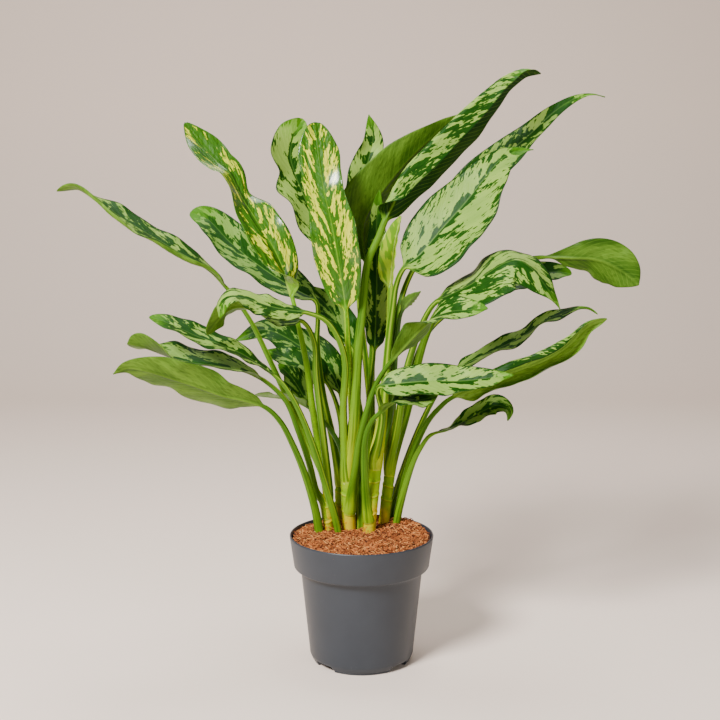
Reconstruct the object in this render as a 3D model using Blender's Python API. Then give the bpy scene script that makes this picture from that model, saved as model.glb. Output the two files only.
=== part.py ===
"""Potted Chinese evergreen: a nursery pot of coir, six short ringed canes and thirty-two leaves.

The pot's foot stands on z = 0 with its centre at the origin, +Z is up and -Y is the front.
Every size here is in millimetres, and a mesh is scaled to metres when it is made.
"""

import math

import bpy
import numpy as np

MM = 0.001
GAP = 0.3  # between any two pieces

# pot
POT_HEIGHT = 152.0
RIM_RADIUS = 85.0
RIM_WALL = 2.2
COLLAR_HEIGHT = 38.6
COLLAR_FOOT_RADIUS = 80.0
BODY_TOP_RADIUS = 71.8
BODY_FOOT_RADIUS = 62.3
FOOT_RADIUS = 57.5
BODY_WALL = 2.2
FLOOR = 9.2
POT_SIDES = 40
ARCH_TURN = 47.5  # degrees from the front, and from the back, to the middle of an arch
ARCH_ANGLE = 27.5  # degrees of the arch between two feet
ARCH_HEIGHT = 7.0
ARCH_INNER_RADIUS = 32.0
DRAIN_RADIUS = 4.5
DRAIN_AT = 44.0

# soil
SOIL_LEVEL = 147.6
SOIL_DOME = 1.8
HEAP = (48.0, 44.0)
HEAP_RISE = 1.6
HEAP_SPREAD = 20.0
HOLE_SIDES = 12
HOLE_CLEARANCE = 0.8
HOLE_DEPTH = 1.5  # below the foot of a stem

# leaves
BLADE_THICKNESS = 0.9
KEEL_DEPTH = 1.8
BLEND_LENGTH = 14.0  # over which the round petiole opens in to the blade
COLUMNS = (-1.0, -0.5, 0.0, 0.5, 1.0)  # across the blade, from the left edge to the right
PETIOLE_STEP = 55.0
BLADE_STEP = 16.0
LEAST_BEND = 2.0  # radius of the tightest roll of a blade

# colours, linear
POT_GREY = (0.085, 0.095, 0.11)
COIR_BROWN = (0.19, 0.085, 0.03)
CANE_GREEN = (0.30, 0.36, 0.05)
CANE_YELLOW = (0.52, 0.50, 0.06)
CANE_SHADE = (0.16, 0.20, 0.04)
SILVER_GREEN = (0.20, 0.30, 0.11)
CREAM_GREEN = (0.40, 0.47, 0.12)
LEAF_GREEN = (0.12, 0.25, 0.04)
PALE_YELLOW = (0.55, 0.60, 0.22)


def clear_scene():
    for obj in list(bpy.data.objects):
        bpy.data.objects.remove(obj, do_unlink=True)


def plain_material(name, colour, roughness):
    material = bpy.data.materials.new(name)
    material.use_nodes = True
    shader = material.node_tree.nodes["Principled BSDF"]
    shader.inputs["Base Color"].default_value = (*colour, 1.0)
    shader.inputs["Roughness"].default_value = roughness
    shader.inputs["Metallic"].default_value = 0.0
    return material


def outward(points, faces):
    """The faces, turned round if they enclose a negative volume."""
    corners = points[faces]
    volume = np.einsum("ij,ij->i", corners[:, 0], np.cross(corners[:, 1], corners[:, 2])).sum()
    return faces if volume > 0 else faces[:, ::-1]


def add_mesh(name, points, faces, colour=None, roughness=0.5, sharp=40.0):
    points = np.asarray(points, float)
    faces = outward(points, np.asarray(faces, int))
    mesh = bpy.data.meshes.new(name)
    mesh.from_pydata((points * MM).tolist(), [], faces.tolist())
    mesh.shade_smooth()
    mesh.set_sharp_from_angle(angle=math.radians(sharp))
    obj = bpy.data.objects.new(name, mesh)
    bpy.context.scene.collection.objects.link(obj)
    if colour:
        mesh.materials.append(plain_material(name + "_material", colour, roughness))
    return obj


def cut(obj, name, bodies):
    """Cuts the closed bodies, each (points, faces), out of the object."""
    points = []
    faces = []
    for body_points, body_faces in bodies:
        body_points = np.asarray(body_points, float)
        body_faces = outward(body_points, np.asarray(body_faces, int))
        faces.extend((body_faces + len(points)).tolist())
        points.extend(body_points.tolist())
    cutter = add_mesh(name, points, faces)
    cutter.hide_render = True
    cutter.display_type = "WIRE"
    modifier = obj.modifiers.new(name, "BOOLEAN")
    modifier.operation = "DIFFERENCE"
    modifier.solver = "EXACT"
    modifier.object = cutter


def ring_faces(rings, sides):
    """Triangles between successive rings of equal count, and a fan over each open end."""
    faces = []
    for i in range(rings - 1):
        for j in range(sides):
            a = i * sides + j
            b = i * sides + (j + 1) % sides
            faces.append((a, b, b + sides))
            faces.append((a, b + sides, a + sides))
    last = (rings - 1) * sides
    for j in range(1, sides - 1):
        faces.append((0, j + 1, j))
        faces.append((last, last + j, last + j + 1))
    return faces


def tube(path, radii, sides):
    """Closed round bar through the points of a path that never runs along Y."""
    path = np.asarray(path, float)
    run = np.gradient(path, axis=0)
    run /= np.linalg.norm(run, axis=1)[:, None]
    across = np.cross(run, (0.0, 1.0, 0.0))
    across /= np.linalg.norm(across, axis=1)[:, None]
    other = np.cross(run, across)
    points = []
    for centre, u, v, radius in zip(path, across, other, radii):
        for j in range(sides):
            angle = 2 * math.pi * j / sides
            points.append(centre + radius * (math.cos(angle) * u + math.sin(angle) * v))
    return np.array(points), ring_faces(len(path), sides)


def turned(profile, sides, lift=None):
    """Closed body of revolution. The profile of (radius, z) starts and ends on the axis.

    lift(x, y, z) gives a point's height, for a surface that isn't quite round.
    """
    points = [(0.0, 0.0, profile[0][1])]
    for radius, z in profile[1:-1]:
        for j in range(sides):
            angle = 2 * math.pi * j / sides
            points.append((radius * math.cos(angle), radius * math.sin(angle), z))
    points.append((0.0, 0.0, profile[-1][1]))
    if lift:
        points = [(x, y, lift(x, y, z)) for x, y, z in points]
    faces = []
    rows = len(profile) - 2
    top = len(points) - 1
    for j in range(sides):
        k = (j + 1) % sides
        faces.append((0, 1 + k, 1 + j))
        faces.append((top, 1 + (rows - 1) * sides + j, 1 + (rows - 1) * sides + k))
        for i in range(rows - 1):
            a = 1 + i * sides + j
            b = 1 + i * sides + k
            faces.append((a, b, b + sides))
            faces.append((a, b + sides, a + sides))
    return np.array(points), faces


def sector(angle, spread, near, far, bottom, top, steps=5):
    """Block between two radii and two angles."""
    edge = []
    for i in range(steps + 1):
        turn = angle + spread * (i / steps - 0.5)
        edge.append((far * math.cos(turn), far * math.sin(turn)))
    for i in range(steps, -1, -1):
        turn = angle + spread * (i / steps - 0.5)
        edge.append((near * math.cos(turn), near * math.sin(turn)))
    points = [(x, y, z) for z in (bottom, top) for x, y in edge]
    count = len(edge)
    faces = []
    for j in range(count):
        a = j
        b = (j + 1) % count
        faces.append((a, b, b + count))
        faces.append((a, b + count, a + count))
    for i in range(steps):
        a, b, c, d = i, i + 1, count - 2 - i, count - 1 - i
        faces.append((a, c, b))
        faces.append((a, d, c))
        faces.append((count + a, count + b, count + c))
        faces.append((count + a, count + c, count + d))
    return np.array(points), faces


def pot_inside():
    """(radius, z) down the pot's inner wall, from the lip to the floor."""
    shoulder = POT_HEIGHT - COLLAR_HEIGHT
    return (
        (RIM_RADIUS - RIM_WALL, POT_HEIGHT - 1.2),
        (COLLAR_FOOT_RADIUS - BODY_WALL - 0.4, shoulder + 3.0),
        (BODY_TOP_RADIUS - BODY_WALL, shoulder - 4.5),
        (BODY_FOOT_RADIUS - BODY_WALL, 14.0),
        (FOOT_RADIUS - BODY_WALL, FLOOR),
    )


def pot():
    shoulder = POT_HEIGHT - COLLAR_HEIGHT
    profile = [(0.0, 0.0), (ARCH_INNER_RADIUS, 0.0)]
    profile += [(FOOT_RADIUS, 0.0), (FOOT_RADIUS + 1.6, 3.0), (BODY_FOOT_RADIUS - 0.6, 9.0)]
    profile += [(BODY_FOOT_RADIUS, 16.0), (BODY_TOP_RADIUS, shoulder - 5.0)]
    profile += [(BODY_TOP_RADIUS + 0.9, shoulder - 1.8), (BODY_TOP_RADIUS + 3.0, shoulder - 0.3)]
    profile += [(COLLAR_FOOT_RADIUS - 1.4, shoulder), (COLLAR_FOOT_RADIUS, shoulder + 1.6)]
    profile += [(RIM_RADIUS, POT_HEIGHT - 1.2), (RIM_RADIUS - 0.7, POT_HEIGHT)]
    profile += [(RIM_RADIUS - RIM_WALL + 0.6, POT_HEIGHT)]
    profile += [*pot_inside(), (0.0, FLOOR)]
    points, faces = turned(profile, POT_SIDES)
    body = add_mesh("pot", points, faces, POT_GREY, 0.42, 35.0)
    middles = [math.radians(side + turn) for side in (-90, 90) for turn in (-ARCH_TURN, ARCH_TURN)]
    arches = []
    drains = []
    for angle in middles:
        spread = math.radians(ARCH_ANGLE)
        arches.append(sector(angle, spread, ARCH_INNER_RADIUS, RIM_RADIUS, -2.0, ARCH_HEIGHT))
        x = DRAIN_AT * math.cos(angle)
        y = DRAIN_AT * math.sin(angle)
        drains.append(tube([(x, y, -2.0), (x, y, FLOOR + 4.0)], (DRAIN_RADIUS, DRAIN_RADIUS), 14))
    cut(body, "pot_arches", arches)
    cut(body, "pot_drains", drains)


def soil_height(x, y, z):
    """A point of the soil's top, lifted in to a low dome with a heap and lumps; others stay."""
    if z < SOIL_LEVEL:
        return z
    dome = SOIL_DOME * (1 - (x * x + y * y) / RIM_RADIUS**2)
    away = ((x - HEAP[0]) ** 2 + (y - HEAP[1]) ** 2) / (2 * HEAP_SPREAD**2)
    lumps = 0.8 * math.sin(x / 5.1 + 1.3) * math.cos(y / 4.3) + 0.5 * math.sin(x / 2.9 - y / 3.7)
    return z + dome + HEAP_RISE * math.exp(-away) + lumps


def soil(holes):
    inside = pot_inside()
    wall = [(radius - GAP - 0.2, z) for radius, z in inside[1:]]
    lip, below = inside[0], inside[1]
    share = (SOIL_LEVEL - below[1]) / (lip[1] - below[1])
    edge = below[0] + share * (lip[0] - below[0]) - GAP - 0.3
    profile = [(0.0, FLOOR + GAP)]
    profile += [(radius, z + GAP if z == FLOOR else z) for radius, z in reversed(wall)]
    profile += [(edge - 1.0, SOIL_LEVEL - 2.0)]
    profile += [(share * (edge - 1.5), SOIL_LEVEL) for share in (1.0, 0.87, 0.72, 0.56, 0.38, 0.19)]
    profile += [(0.0, SOIL_LEVEL)]
    points, faces = turned(profile, POT_SIDES, soil_height)
    body = add_mesh("soil", points, faces, COIR_BROWN, 0.95, 80.0)
    cut(body, "soil_holes", holes)


def cane(name, axis, radius, nodes, colour):
    """Short stem with a raised ring at each node height. It stands in the soil."""
    axis = np.asarray(axis, float)
    heights = [axis[0][2], axis[1][2]]
    radii = [radius, radius]
    for z in nodes:
        heights += [z - 3.0, z, z + 1.5]
        radii += [radius * 0.97, radius + 0.7, radius * 0.92]
    heights.append(axis[-1][2])
    radii.append(radius * 0.9)
    path = [[float(np.interp(z, axis[:, 2], axis[:, k])) for k in range(2)] + [z] for z in heights]
    points, faces = tube(path, radii, 10)
    add_mesh(name, points, faces, colour, 0.45)
    reach = radius + HOLE_CLEARANCE
    ends = [axis[0] - (0.0, 0.0, HOLE_DEPTH), axis[1] + (0.0, 0.0, 8.0)]
    return tube(ends, (reach, reach), HOLE_SIDES)


def smooth_line(points, per_span=24):
    """Centripetal curve through the points, and the index at which each point lies."""
    points = np.array(points, float)
    points = np.vstack([2 * points[0] - points[1], points, 2 * points[-1] - points[-2]])
    line = []
    marks = []
    for i in range(1, len(points) - 2):
        p0, p1, p2, p3 = points[i - 1 : i + 3]
        t1 = np.linalg.norm(p1 - p0) ** 0.5
        t2 = t1 + np.linalg.norm(p2 - p1) ** 0.5
        t3 = t2 + np.linalg.norm(p3 - p2) ** 0.5
        marks.append(len(line))
        for t in np.linspace(t1, t2, per_span, endpoint=False):
            a1 = ((t1 - t) * p0 + t * p1) / t1
            a2 = ((t2 - t) * p1 + (t - t1) * p2) / (t2 - t1)
            a3 = ((t3 - t) * p2 + (t - t2) * p3) / (t3 - t2)
            b1 = ((t2 - t) * a1 + t * a2) / t2
            b2 = ((t3 - t) * a2 + (t - t1) * a3) / (t3 - t1)
            line.append(((t2 - t) * b1 + (t - t1) * b2) / (t2 - t1))
    marks.append(len(line))
    line.append(points[-2])
    return np.array(line), marks


def ease(values, at):
    """Smooth run through evenly spaced values, for places from 0 to 1."""
    values = np.asarray(values, float)
    if len(values) == 1:
        values = np.repeat(values, 2, axis=0)
    x = np.clip(at, 0, 1) * (len(values) - 1)
    i = np.minimum(x.astype(int), len(values) - 2)
    f = x - i
    f = f * f * (3 - 2 * f)
    if values.ndim > 1:
        f = f[:, None]
    return values[i] * (1 - f) + values[i + 1] * f


def outline(at, base_power, tip_power):
    """Half width along the blade, as a share of its widest."""
    peak = base_power / (base_power + tip_power)
    widest = peak**base_power * (1 - peak) ** tip_power
    return np.clip(at, 0, 1) ** base_power * np.clip(1 - at, 0, 1) ** tip_power / widest


def blade_section(columns, halves, fold, curl, hinge, wave, keel):
    """Closed outline across the blade: upper face from left to right, lower face back."""
    upper = []
    lower = []
    for column in columns:
        side = 1 if column > 0 else -1
        index = 1 if column > 0 else 0
        from_rib = np.linspace(0, abs(column), 25)
        start, end = hinge[index] if column else (0.0, 1.0)
        most = halves[index] * (end - start) / LEAST_BEND
        bend = min(max(curl[index], -most), most)
        slope = fold[index] + bend * np.clip((from_rib - start) / (end - start), 0, 1)
        out = halves[index] * np.trapz(np.cos(slope), from_rib)
        up = halves[index] * np.trapz(np.sin(slope), from_rib)
        lean = slope[-1] if column else 0.0
        normal = np.array((-math.sin(lean) * side, math.cos(lean)))
        point = np.array((out * side, up)) + normal * wave[index] * column * column
        upper.append(point)
        lower.append(point - normal * (BLADE_THICKNESS if column else keel))
    return np.array(upper + lower[::-1])


def leaf(name, width, stalk, rib, faces, fold=((8,), (8,)), curl=((0.2,), (0.2,)), wave=(2, 3, 0.0),
         stem=(3.6, 2.5), shape=(0.62, 0.95), skew=0.0, hinge=((0, 1), (0, 1)), step=BLADE_STEP,
         columns=COLUMNS, colour=SILVER_GREEN):
    """One leaf: a petiole through the stalk points and a blade on the rib points, as one body.

    faces: where the upper face looks, at even steps from the blade's base to its tip.
    fold, curl: for the left and the right half, degrees that it rises from the rib and radians
    that it bends on towards the edge, between the two shares of the half that hinge gives.
    wave: height, count and phase of the ripple along the edges.
    stem: radius at the foot and at the blade. shape: powers of the outline at base and tip.
    skew: share by which the right half is wider than the mean, and the left one narrower.
    step: distance between the rows of points along the blade. columns: places across it.
    """
    line, marks = smooth_line([*stalk, *rib])
    steps = np.linalg.norm(np.diff(line, axis=0), axis=1)
    run = np.concatenate([[0.0], np.cumsum(steps)])
    base = run[marks[len(stalk)]]
    total = run[-1]
    petiole_rings = min(max(round(base / PETIOLE_STEP), 3), 7)
    blade_rings = min(max(round((total - base) / step), 7), 24)
    k = np.linspace(0, 1, blade_rings + 1)
    blade_at = base + (0.65 * k + 0.175 * (1 - np.cos(math.pi * k))) * (total - base)
    at = np.concatenate([np.linspace(0, base, petiole_rings + 1)[:-1], blade_at])

    def along(place):
        place = np.clip(place, 0, total)
        return np.stack([np.interp(place, run, line[:, axis]) for axis in range(3)], 1)

    centre = along(at)
    ahead = along(at + 1) - along(at - 1)
    ahead /= np.linalg.norm(ahead, axis=1)[:, None]
    share = np.clip((at - base) / (total - base), 0, 1)
    looks = ease(faces, share)
    normal = np.zeros_like(ahead)
    for i in reversed(range(len(at))):
        look = looks[i] if at[i] >= base else normal[i + 1]
        look = look - look.dot(ahead[i]) * ahead[i]
        normal[i] = look / np.linalg.norm(look)
    right = np.cross(ahead, normal)

    half = np.maximum(width / 2 * outline(share, *shape), 0.8)
    radius = stem[1] + (stem[0] - stem[1]) * (1 - np.clip(at / base, 0, 1)) ** 1.5
    opened = np.clip((at - base) / BLEND_LENGTH, 0, 1)
    opened = opened * opened * (3 - 2 * opened)
    folds = [np.radians(ease(side, share)) for side in fold]
    curls = [ease(side, share) for side in curl]
    spread = 72 * np.array(columns)
    turn = np.radians(np.concatenate([90 - spread, -90 + spread[::-1]]))
    circle = np.stack([np.cos(turn), np.sin(turn)], 1)
    points = []
    for i in range(len(at)):
        swell = wave[0] * math.sin(math.pi * share[i]) ** 0.5 if 0 < share[i] < 1 else 0.0
        phases = (wave[1] * share[i] + wave[2], wave[1] * share[i] + wave[2] + 0.25)
        ripple = [swell * math.sin(2 * math.pi * phase) for phase in phases]
        keel = BLADE_THICKNESS + KEEL_DEPTH * (1 - share[i]) ** 1.2 * min(1, half[i] / 6)
        fold_here = (folds[0][i], folds[1][i])
        curl_here = (curls[0][i], curls[1][i])
        halves = (half[i] * (1 - skew), half[i] * (1 + skew))
        blade = blade_section(columns, halves, fold_here, curl_here, hinge, ripple, keel)
        section = radius[i] * circle * (1 - opened[i]) + blade * opened[i]
        points.extend(centre[i] + section[:, :1] * right[i] + section[:, 1:] * normal[i])
    add_mesh(name, points, leaf_faces(len(at), len(columns)), colour, 0.4)
    foot = centre[0] - HOLE_DEPTH * ahead[0]
    reach = stem[0] + HOLE_CLEARANCE
    return tube([foot, centre[1]], (reach, reach), HOLE_SIDES)


def leaf_faces(rings, columns):
    """Both faces of the blade are split along the same diagonals, so that they never cross."""
    around = 2 * columns
    faces = []
    for i in range(rings - 1):
        for j in range(around):
            a = i * around + j
            b = i * around + (j + 1) % around
            c = b + around
            d = a + around
            faces += [(a, b, c), (a, c, d)] if j < columns else [(a, b, d), (b, c, d)]
    last = (rings - 1) * around
    for j in range(columns - 1):
        a, b, c, d = j, j + 1, around - 2 - j, around - 1 - j
        faces += [(a, c, b), (a, d, c)]
        faces += [(last + a, last + b, last + c), (last + a, last + c, last + d)]
    return faces


def canes():
    """Six canes. Each call gives back the hole that the cane needs in the soil."""
    return [
        cane("cane_left", [(-40, 24, 108), (-40, 24, 150), (-40, 24, 186)], 6.2, (161, 180), CANE_GREEN),
        cane("cane_middle", [(-15, 24, 108), (-15, 24, 150), (-17, 22, 212)], 8.2, (174, 194), CANE_GREEN),
        cane("cane_tall", [(9, 14, 108), (9, 14, 150), (12, 14, 185), (17, 18, 228)], 7.6,
             (174, 196, 213), CANE_YELLOW),
        cane("cane_right", [(27, 42, 108), (27, 42, 150), (30, 41, 180), (34, 40, 214)], 6.6,
             (183, 200), CANE_YELLOW),
        cane("cane_back_left", [(-27, 62, 122), (-27, 62, 150), (-26, 64, 196)], 6.5, (170, 186), CANE_SHADE),
        cane("cane_back", [(11, 66, 122), (11, 66, 150), (13, 66, 196)], 6.5, (170, 186), CANE_SHADE),
    ]


def leaves_of_left_cane():
    leaf("leaf_01", 46, stem=(3.6, 2.5), shape=(0.5, 0.6), fold=((5,), (5,)),
         stalk=[(-39, 34, 187), (-78, 50, 279), (-112, 56, 354), (-135, 50, 403)],
         rib=[(-159, 44, 438), (-177, 42, 459), (-218, 36, 484), (-270, 30, 516), (-308, 28, 542),
              (-331, 26, 556), (-353, 26, 553)],
         faces=[(0.4, 0.1, 0.9), (0.4, -0.35, 0.9), (0.4, -0.3, 0.9), (0.3, 0.4, 0.8)])
    leaf("leaf_02", 54, stem=(3.8, 2.6), shape=(0.5, 0.55), colour=CREAM_GREEN, step=10,
         fold=((70, 10, 10, 10, 10, 10), (10, 10, 10, 10, 10, 10)),
         stalk=[(-44, 26, 187), (-47, 25, 229), (-56, 22, 284), (-65, 18, 354), (-73, 17, 394)],
         rib=[(-80, 18, 427), (-98, 26, 478), (-123, 38, 519), (-141, 46, 546), (-156, 54, 574),
              (-171, 58, 587), (-189, 64, 607), (-210, 70, 634)],
         faces=[(0.6, 0.3, 0.5), (0.3, -0.8, 0.4), (0.3, -0.8, 0.4), (0.8, -0.4, 0.4), (0.5, -0.7, 0.4),
                (0.3, -0.8, 0.4)])
    leaf("leaf_03", 42, stem=(4, 2.6), shape=(0.6, 0.6), fold=((5,), (5,)),
         stalk=[(-37, 16, 187), (-44, 12, 256), (-53, 2, 340), (-55, -2, 381)],
         rib=[(-67, -8, 404), (-84, -14, 407), (-112, -26, 415), (-135, -38, 424), (-148, -44, 421),
              (-159, -52, 410), (-171, -58, 395)],
         faces=[(0, -0.6, 0.8), (0, -0.5, 0.8), (-0.1, 0.6, 0.8), (-0.6, 0.6, 0.4)])
    leaf("leaf_04", 50, stem=(3.8, 2.5), shape=(0.6, 0.4), fold=((15,), (15,)),
         stalk=[(-52, 26, 168), (-53, 24, 195), (-62, 8, 237), (-74, -2, 277), (-88, -12, 314)],
         rib=[(-112, -18, 338), (-133, -26, 350), (-164, -34, 357), (-191, -38, 361), (-217, -42, 369),
              (-239, -46, 378), (-261, -48, 384)],
         faces=[(0.2, -0.1, 1), (0.2, -0.3, 0.9), (0.2, -0.2, 0.9), (0.1, 0.7, 0.7)])


def leaves_of_left_soil():
    return [
        leaf("leaf_05", 60, stem=(3.8, 2.7), shape=(1.0, 1.0),
             stalk=[(-51, 17, 122), (-51, 17, 148), (-55, 12, 177), (-67, -4, 226), (-79, -16, 261),
                    (-93, -28, 292)],
             rib=[(-108, -36, 309), (-130, -44, 319), (-156, -50, 326), (-180, -56, 336), (-209, -64, 347),
                  (-237, -72, 357), (-256, -75, 360), (-271, -78, 354)],
             faces=[(0.2, 0.8, 0.6)]),
        leaf("leaf_06", 40, stem=(3.9, 2.6), shape=(1.0, 0.6), fold=((5,), (5,)),
             stalk=[(-27, 11, 122), (-27, 12, 147), (-42, 4, 208), (-64, -14, 283), (-82, -22, 323)],
             rib=[(-96, -26, 342), (-130, -34, 368), (-156, -40, 381), (-186, -46, 393), (-212, -50, 406),
                  (-235, -52, 414)],
             faces=[(0.3, -0.3, 0.9), (0.3, -0.4, 0.9), (0.2, -0.4, 0.9)]),
        leaf("leaf_07", 40, stem=(3.2, 2.3),
             stalk=[(-40, 43, 122), (-40, 43, 150), (-43, 48, 217), (-50, 50, 260), (-59, 50, 285)],
             rib=[(-65, 51, 298), (-84, 54, 330), (-101, 58, 346)],
             faces=[(0.4, -0.6, 0.7)]),
        leaf("leaf_08", 36, stem=(3.3, 2.3), colour=LEAF_GREEN,
             stalk=[(-14, 46, 122), (-14, 46, 150), (-19, 52, 191), (-25, 54, 241), (-37, 50, 266),
                    (-49, 44, 282)],
             rib=[(-63, 38, 296), (-79, 32, 306), (-118, 22, 313), (-136, 18, 315)],
             faces=[(0.2, 0.3, 0.95)]),
    ]


def leaves_of_middle_cane():
    leaf("leaf_09", 44, stem=(4.2, 2.7), shape=(0.6, 0.5), fold=((5,), (5,)), curl=((-0.3,), (-0.3,)),
         stalk=[(-21, 18, 213), (-21, 6, 303), (-19, -2, 357), (-27, -10, 386), (-41, -18, 407)],
         rib=[(-61, -26, 416), (-96, -46, 424), (-130, -64, 436), (-143, -72, 437), (-150, -78, 431),
              (-152, -84, 416)],
         faces=[(0, -0.6, 0.8), (0, -0.6, 0.8), (-0.2, -0.5, 0.8), (-0.9, -0.4, 0.3)])
    leaf("leaf_10", 60, stem=(4, 2.8), shape=(0.45, 0.45), colour=CREAM_GREEN,
         stalk=[(-13, 28, 214), (-10, 24, 263), (-14, 17, 339), (-16, 8, 375)],
         rib=[(-18, 0, 415), (-27, -2, 474), (-34, 0, 514), (-43, 5, 554), (-54, 24, 631)],
         faces=[(0, -1, 0.1), (0, -1, 0.2), (0, -1, 0.3)])
    leaf("leaf_11", 72, stem=(5, 3.8), shape=(0.58, 0.85), skew=0.15, fold=((0,), (0,)),
         hinge=((0, 1), (0.2, 0.5)), curl=((0.3,), (0, -2.9, -2.9, -2.9, -2.9, -2.2, -1)),
         columns=(-1, -0.5, 0, 0.2, 0.35, 0.5, 1), colour=LEAF_GREEN,
         stalk=[(-11, 17, 213), (-9, 10, 274), (-5, 10, 356), (2, 12, 427), (7, 12, 471), (20, 12, 501)],
         rib=[(26, 12, 517), (35, 12, 536), (44, 13, 554), (58, 14, 573), (78, 16, 593), (101, 18, 617),
              (124, 20, 640), (145, 20, 660), (165, 20, 678), (185, 21, 687), (204, 22, 685)],
         faces=[(-0.2, 0.95, 0.1), (-0.25, 0.95, 0.2), (-0.3, 0.9, 0.2), (-0.2, 0.8, 0.6)])
    leaf("leaf_12", 44, stem=(3.8, 2.6), shape=(0.8, 0.7),
         stalk=[(-8, 11, 176), (-7, 0, 231), (-2, -8, 268), (16, -20, 332)],
         rib=[(32, -27, 359), (58, -41, 391), (80, -56, 414), (96, -65, 421), (116, -74, 424),
              (136, -80, 426)],
         faces=[(-0.5, 0.7, 0.5), (-0.4, 0.7, 0.6), (0, -0.6, 0.8), (0, -0.7, 0.7)])


def leaves_of_tall_cane():
    leaf("leaf_13", 92, stem=(4.6, 3), shape=(0.55, 1.2), skew=0.2,
         stalk=[(22, 14, 229), (24, 18, 279), (32, 24, 379), (37, 22, 420), (40, 16, 443)],
         rib=[(48, 4, 464), (68, 4, 482), (91, 5, 509), (118, 8, 539), (143, 12, 570), (159, 15, 588),
              (175, 18, 597), (197, 20, 600)],
         faces=[(-0.6, -0.8, 0.2), (-0.4, -0.8, 0.4), (-0.4, -0.8, 0.4)])
    leaf("leaf_14", 34, stem=(4, 3.6), shape=(0.5, 0.7), fold=((30,), (50,)), wave=(0, 3, 0),
         colour=PALE_YELLOW,
         stalk=[(13, 24, 229), (23, 32, 282), (33, 38, 390)],
         rib=[(34, 38, 437), (38, 38, 487), (46, 42, 524)],
         faces=[(-0.5, -1, 0.1)])
    leaf("leaf_15", 18, stem=(3.2, 2.4), wave=(0, 3, 0), colour=LEAF_GREEN,
         stalk=[(22, 24, 229), (33, 32, 282), (43, 36, 390)],
         rib=[(47, 34, 411), (57, 28, 426), (69, 22, 437)],
         faces=[(-0.5, 0.8, 0.3)])
    leaf("leaf_16", 42, stem=(4, 2.6), shape=(0.5, 0.8),
         stalk=[(12, 12, 232), (20, 2, 264), (24, -14, 297)],
         rib=[(19, -36, 332), (34, -42, 337), (76, -50, 342), (111, -56, 343), (140, -62, 347),
              (167, -66, 351)],
         faces=[(0, -0.75, 0.6)])
    leaf("leaf_17", 40, stem=(3.6, 2.5), shape=(0.6, 0.6), fold=((15,), (5,)),
         stalk=[(1, 4, 168), (4, -2, 217), (3, -10, 251), (6, -22, 278), (13, -32, 295)],
         rib=[(19, -36, 302), (43, -44, 321), (63, -48, 320), (84, -52, 325)],
         faces=[(0, 0.4, 0.9), (0, -0.3, 0.9), (0, -0.6, 0.8)])


def leaves_of_right_cane():
    leaf("leaf_18", 50, stem=(4, 2.8), shape=(0.6, 1.4),
         stalk=[(30, 46, 215), (36, 48, 279), (44, 48, 411), (60, 56, 457)],
         rib=[(75, 62, 476), (104, 66, 520), (132, 68, 558), (165, 70, 590), (200, 70, 620), (229, 67, 647),
              (253, 66, 662), (272, 65, 666), (287, 64, 663)],
         faces=[(-0.4, -0.85, 0.3)])
    leaf("leaf_19", 84, stem=(4.4, 2.9), shape=(0.55, 1.05), step=13,
         fold=((-20, -20, -20, 0), (0, -15, -30, 0)),
         stalk=[(33, 35, 215), (42, 24, 272), (54, 2, 354), (74, -20, 414)],
         rib=[(84, -24, 428), (121, -38, 449), (156, -50, 473), (171, -54, 477), (185, -57, 469),
              (206, -62, 442), (217, -65, 424)],
         faces=[(-0.2, -0.5, 0.8), (0, -0.5, 0.8), (0.1, -0.5, 0.8), (0.6, -0.6, 0.5)])
    leaf("leaf_20", 55, stem=(4, 2.6), shape=(1.5, 0.85),
         stalk=[(40, 44, 215), (54, 58, 283), (80, 70, 383), (104, 70, 423), (143, 66, 450), (184, 60, 469)],
         rib=[(213, 54, 475), (251, 42, 475), (273, 36, 474), (291, 30, 468), (309, 25, 457),
              (323, 20, 444)],
         faces=[(-0.1, 0.9, 0.4), (-0.1, 0.9, 0.4), (-0.2, 0.9, 0.4)])


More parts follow.
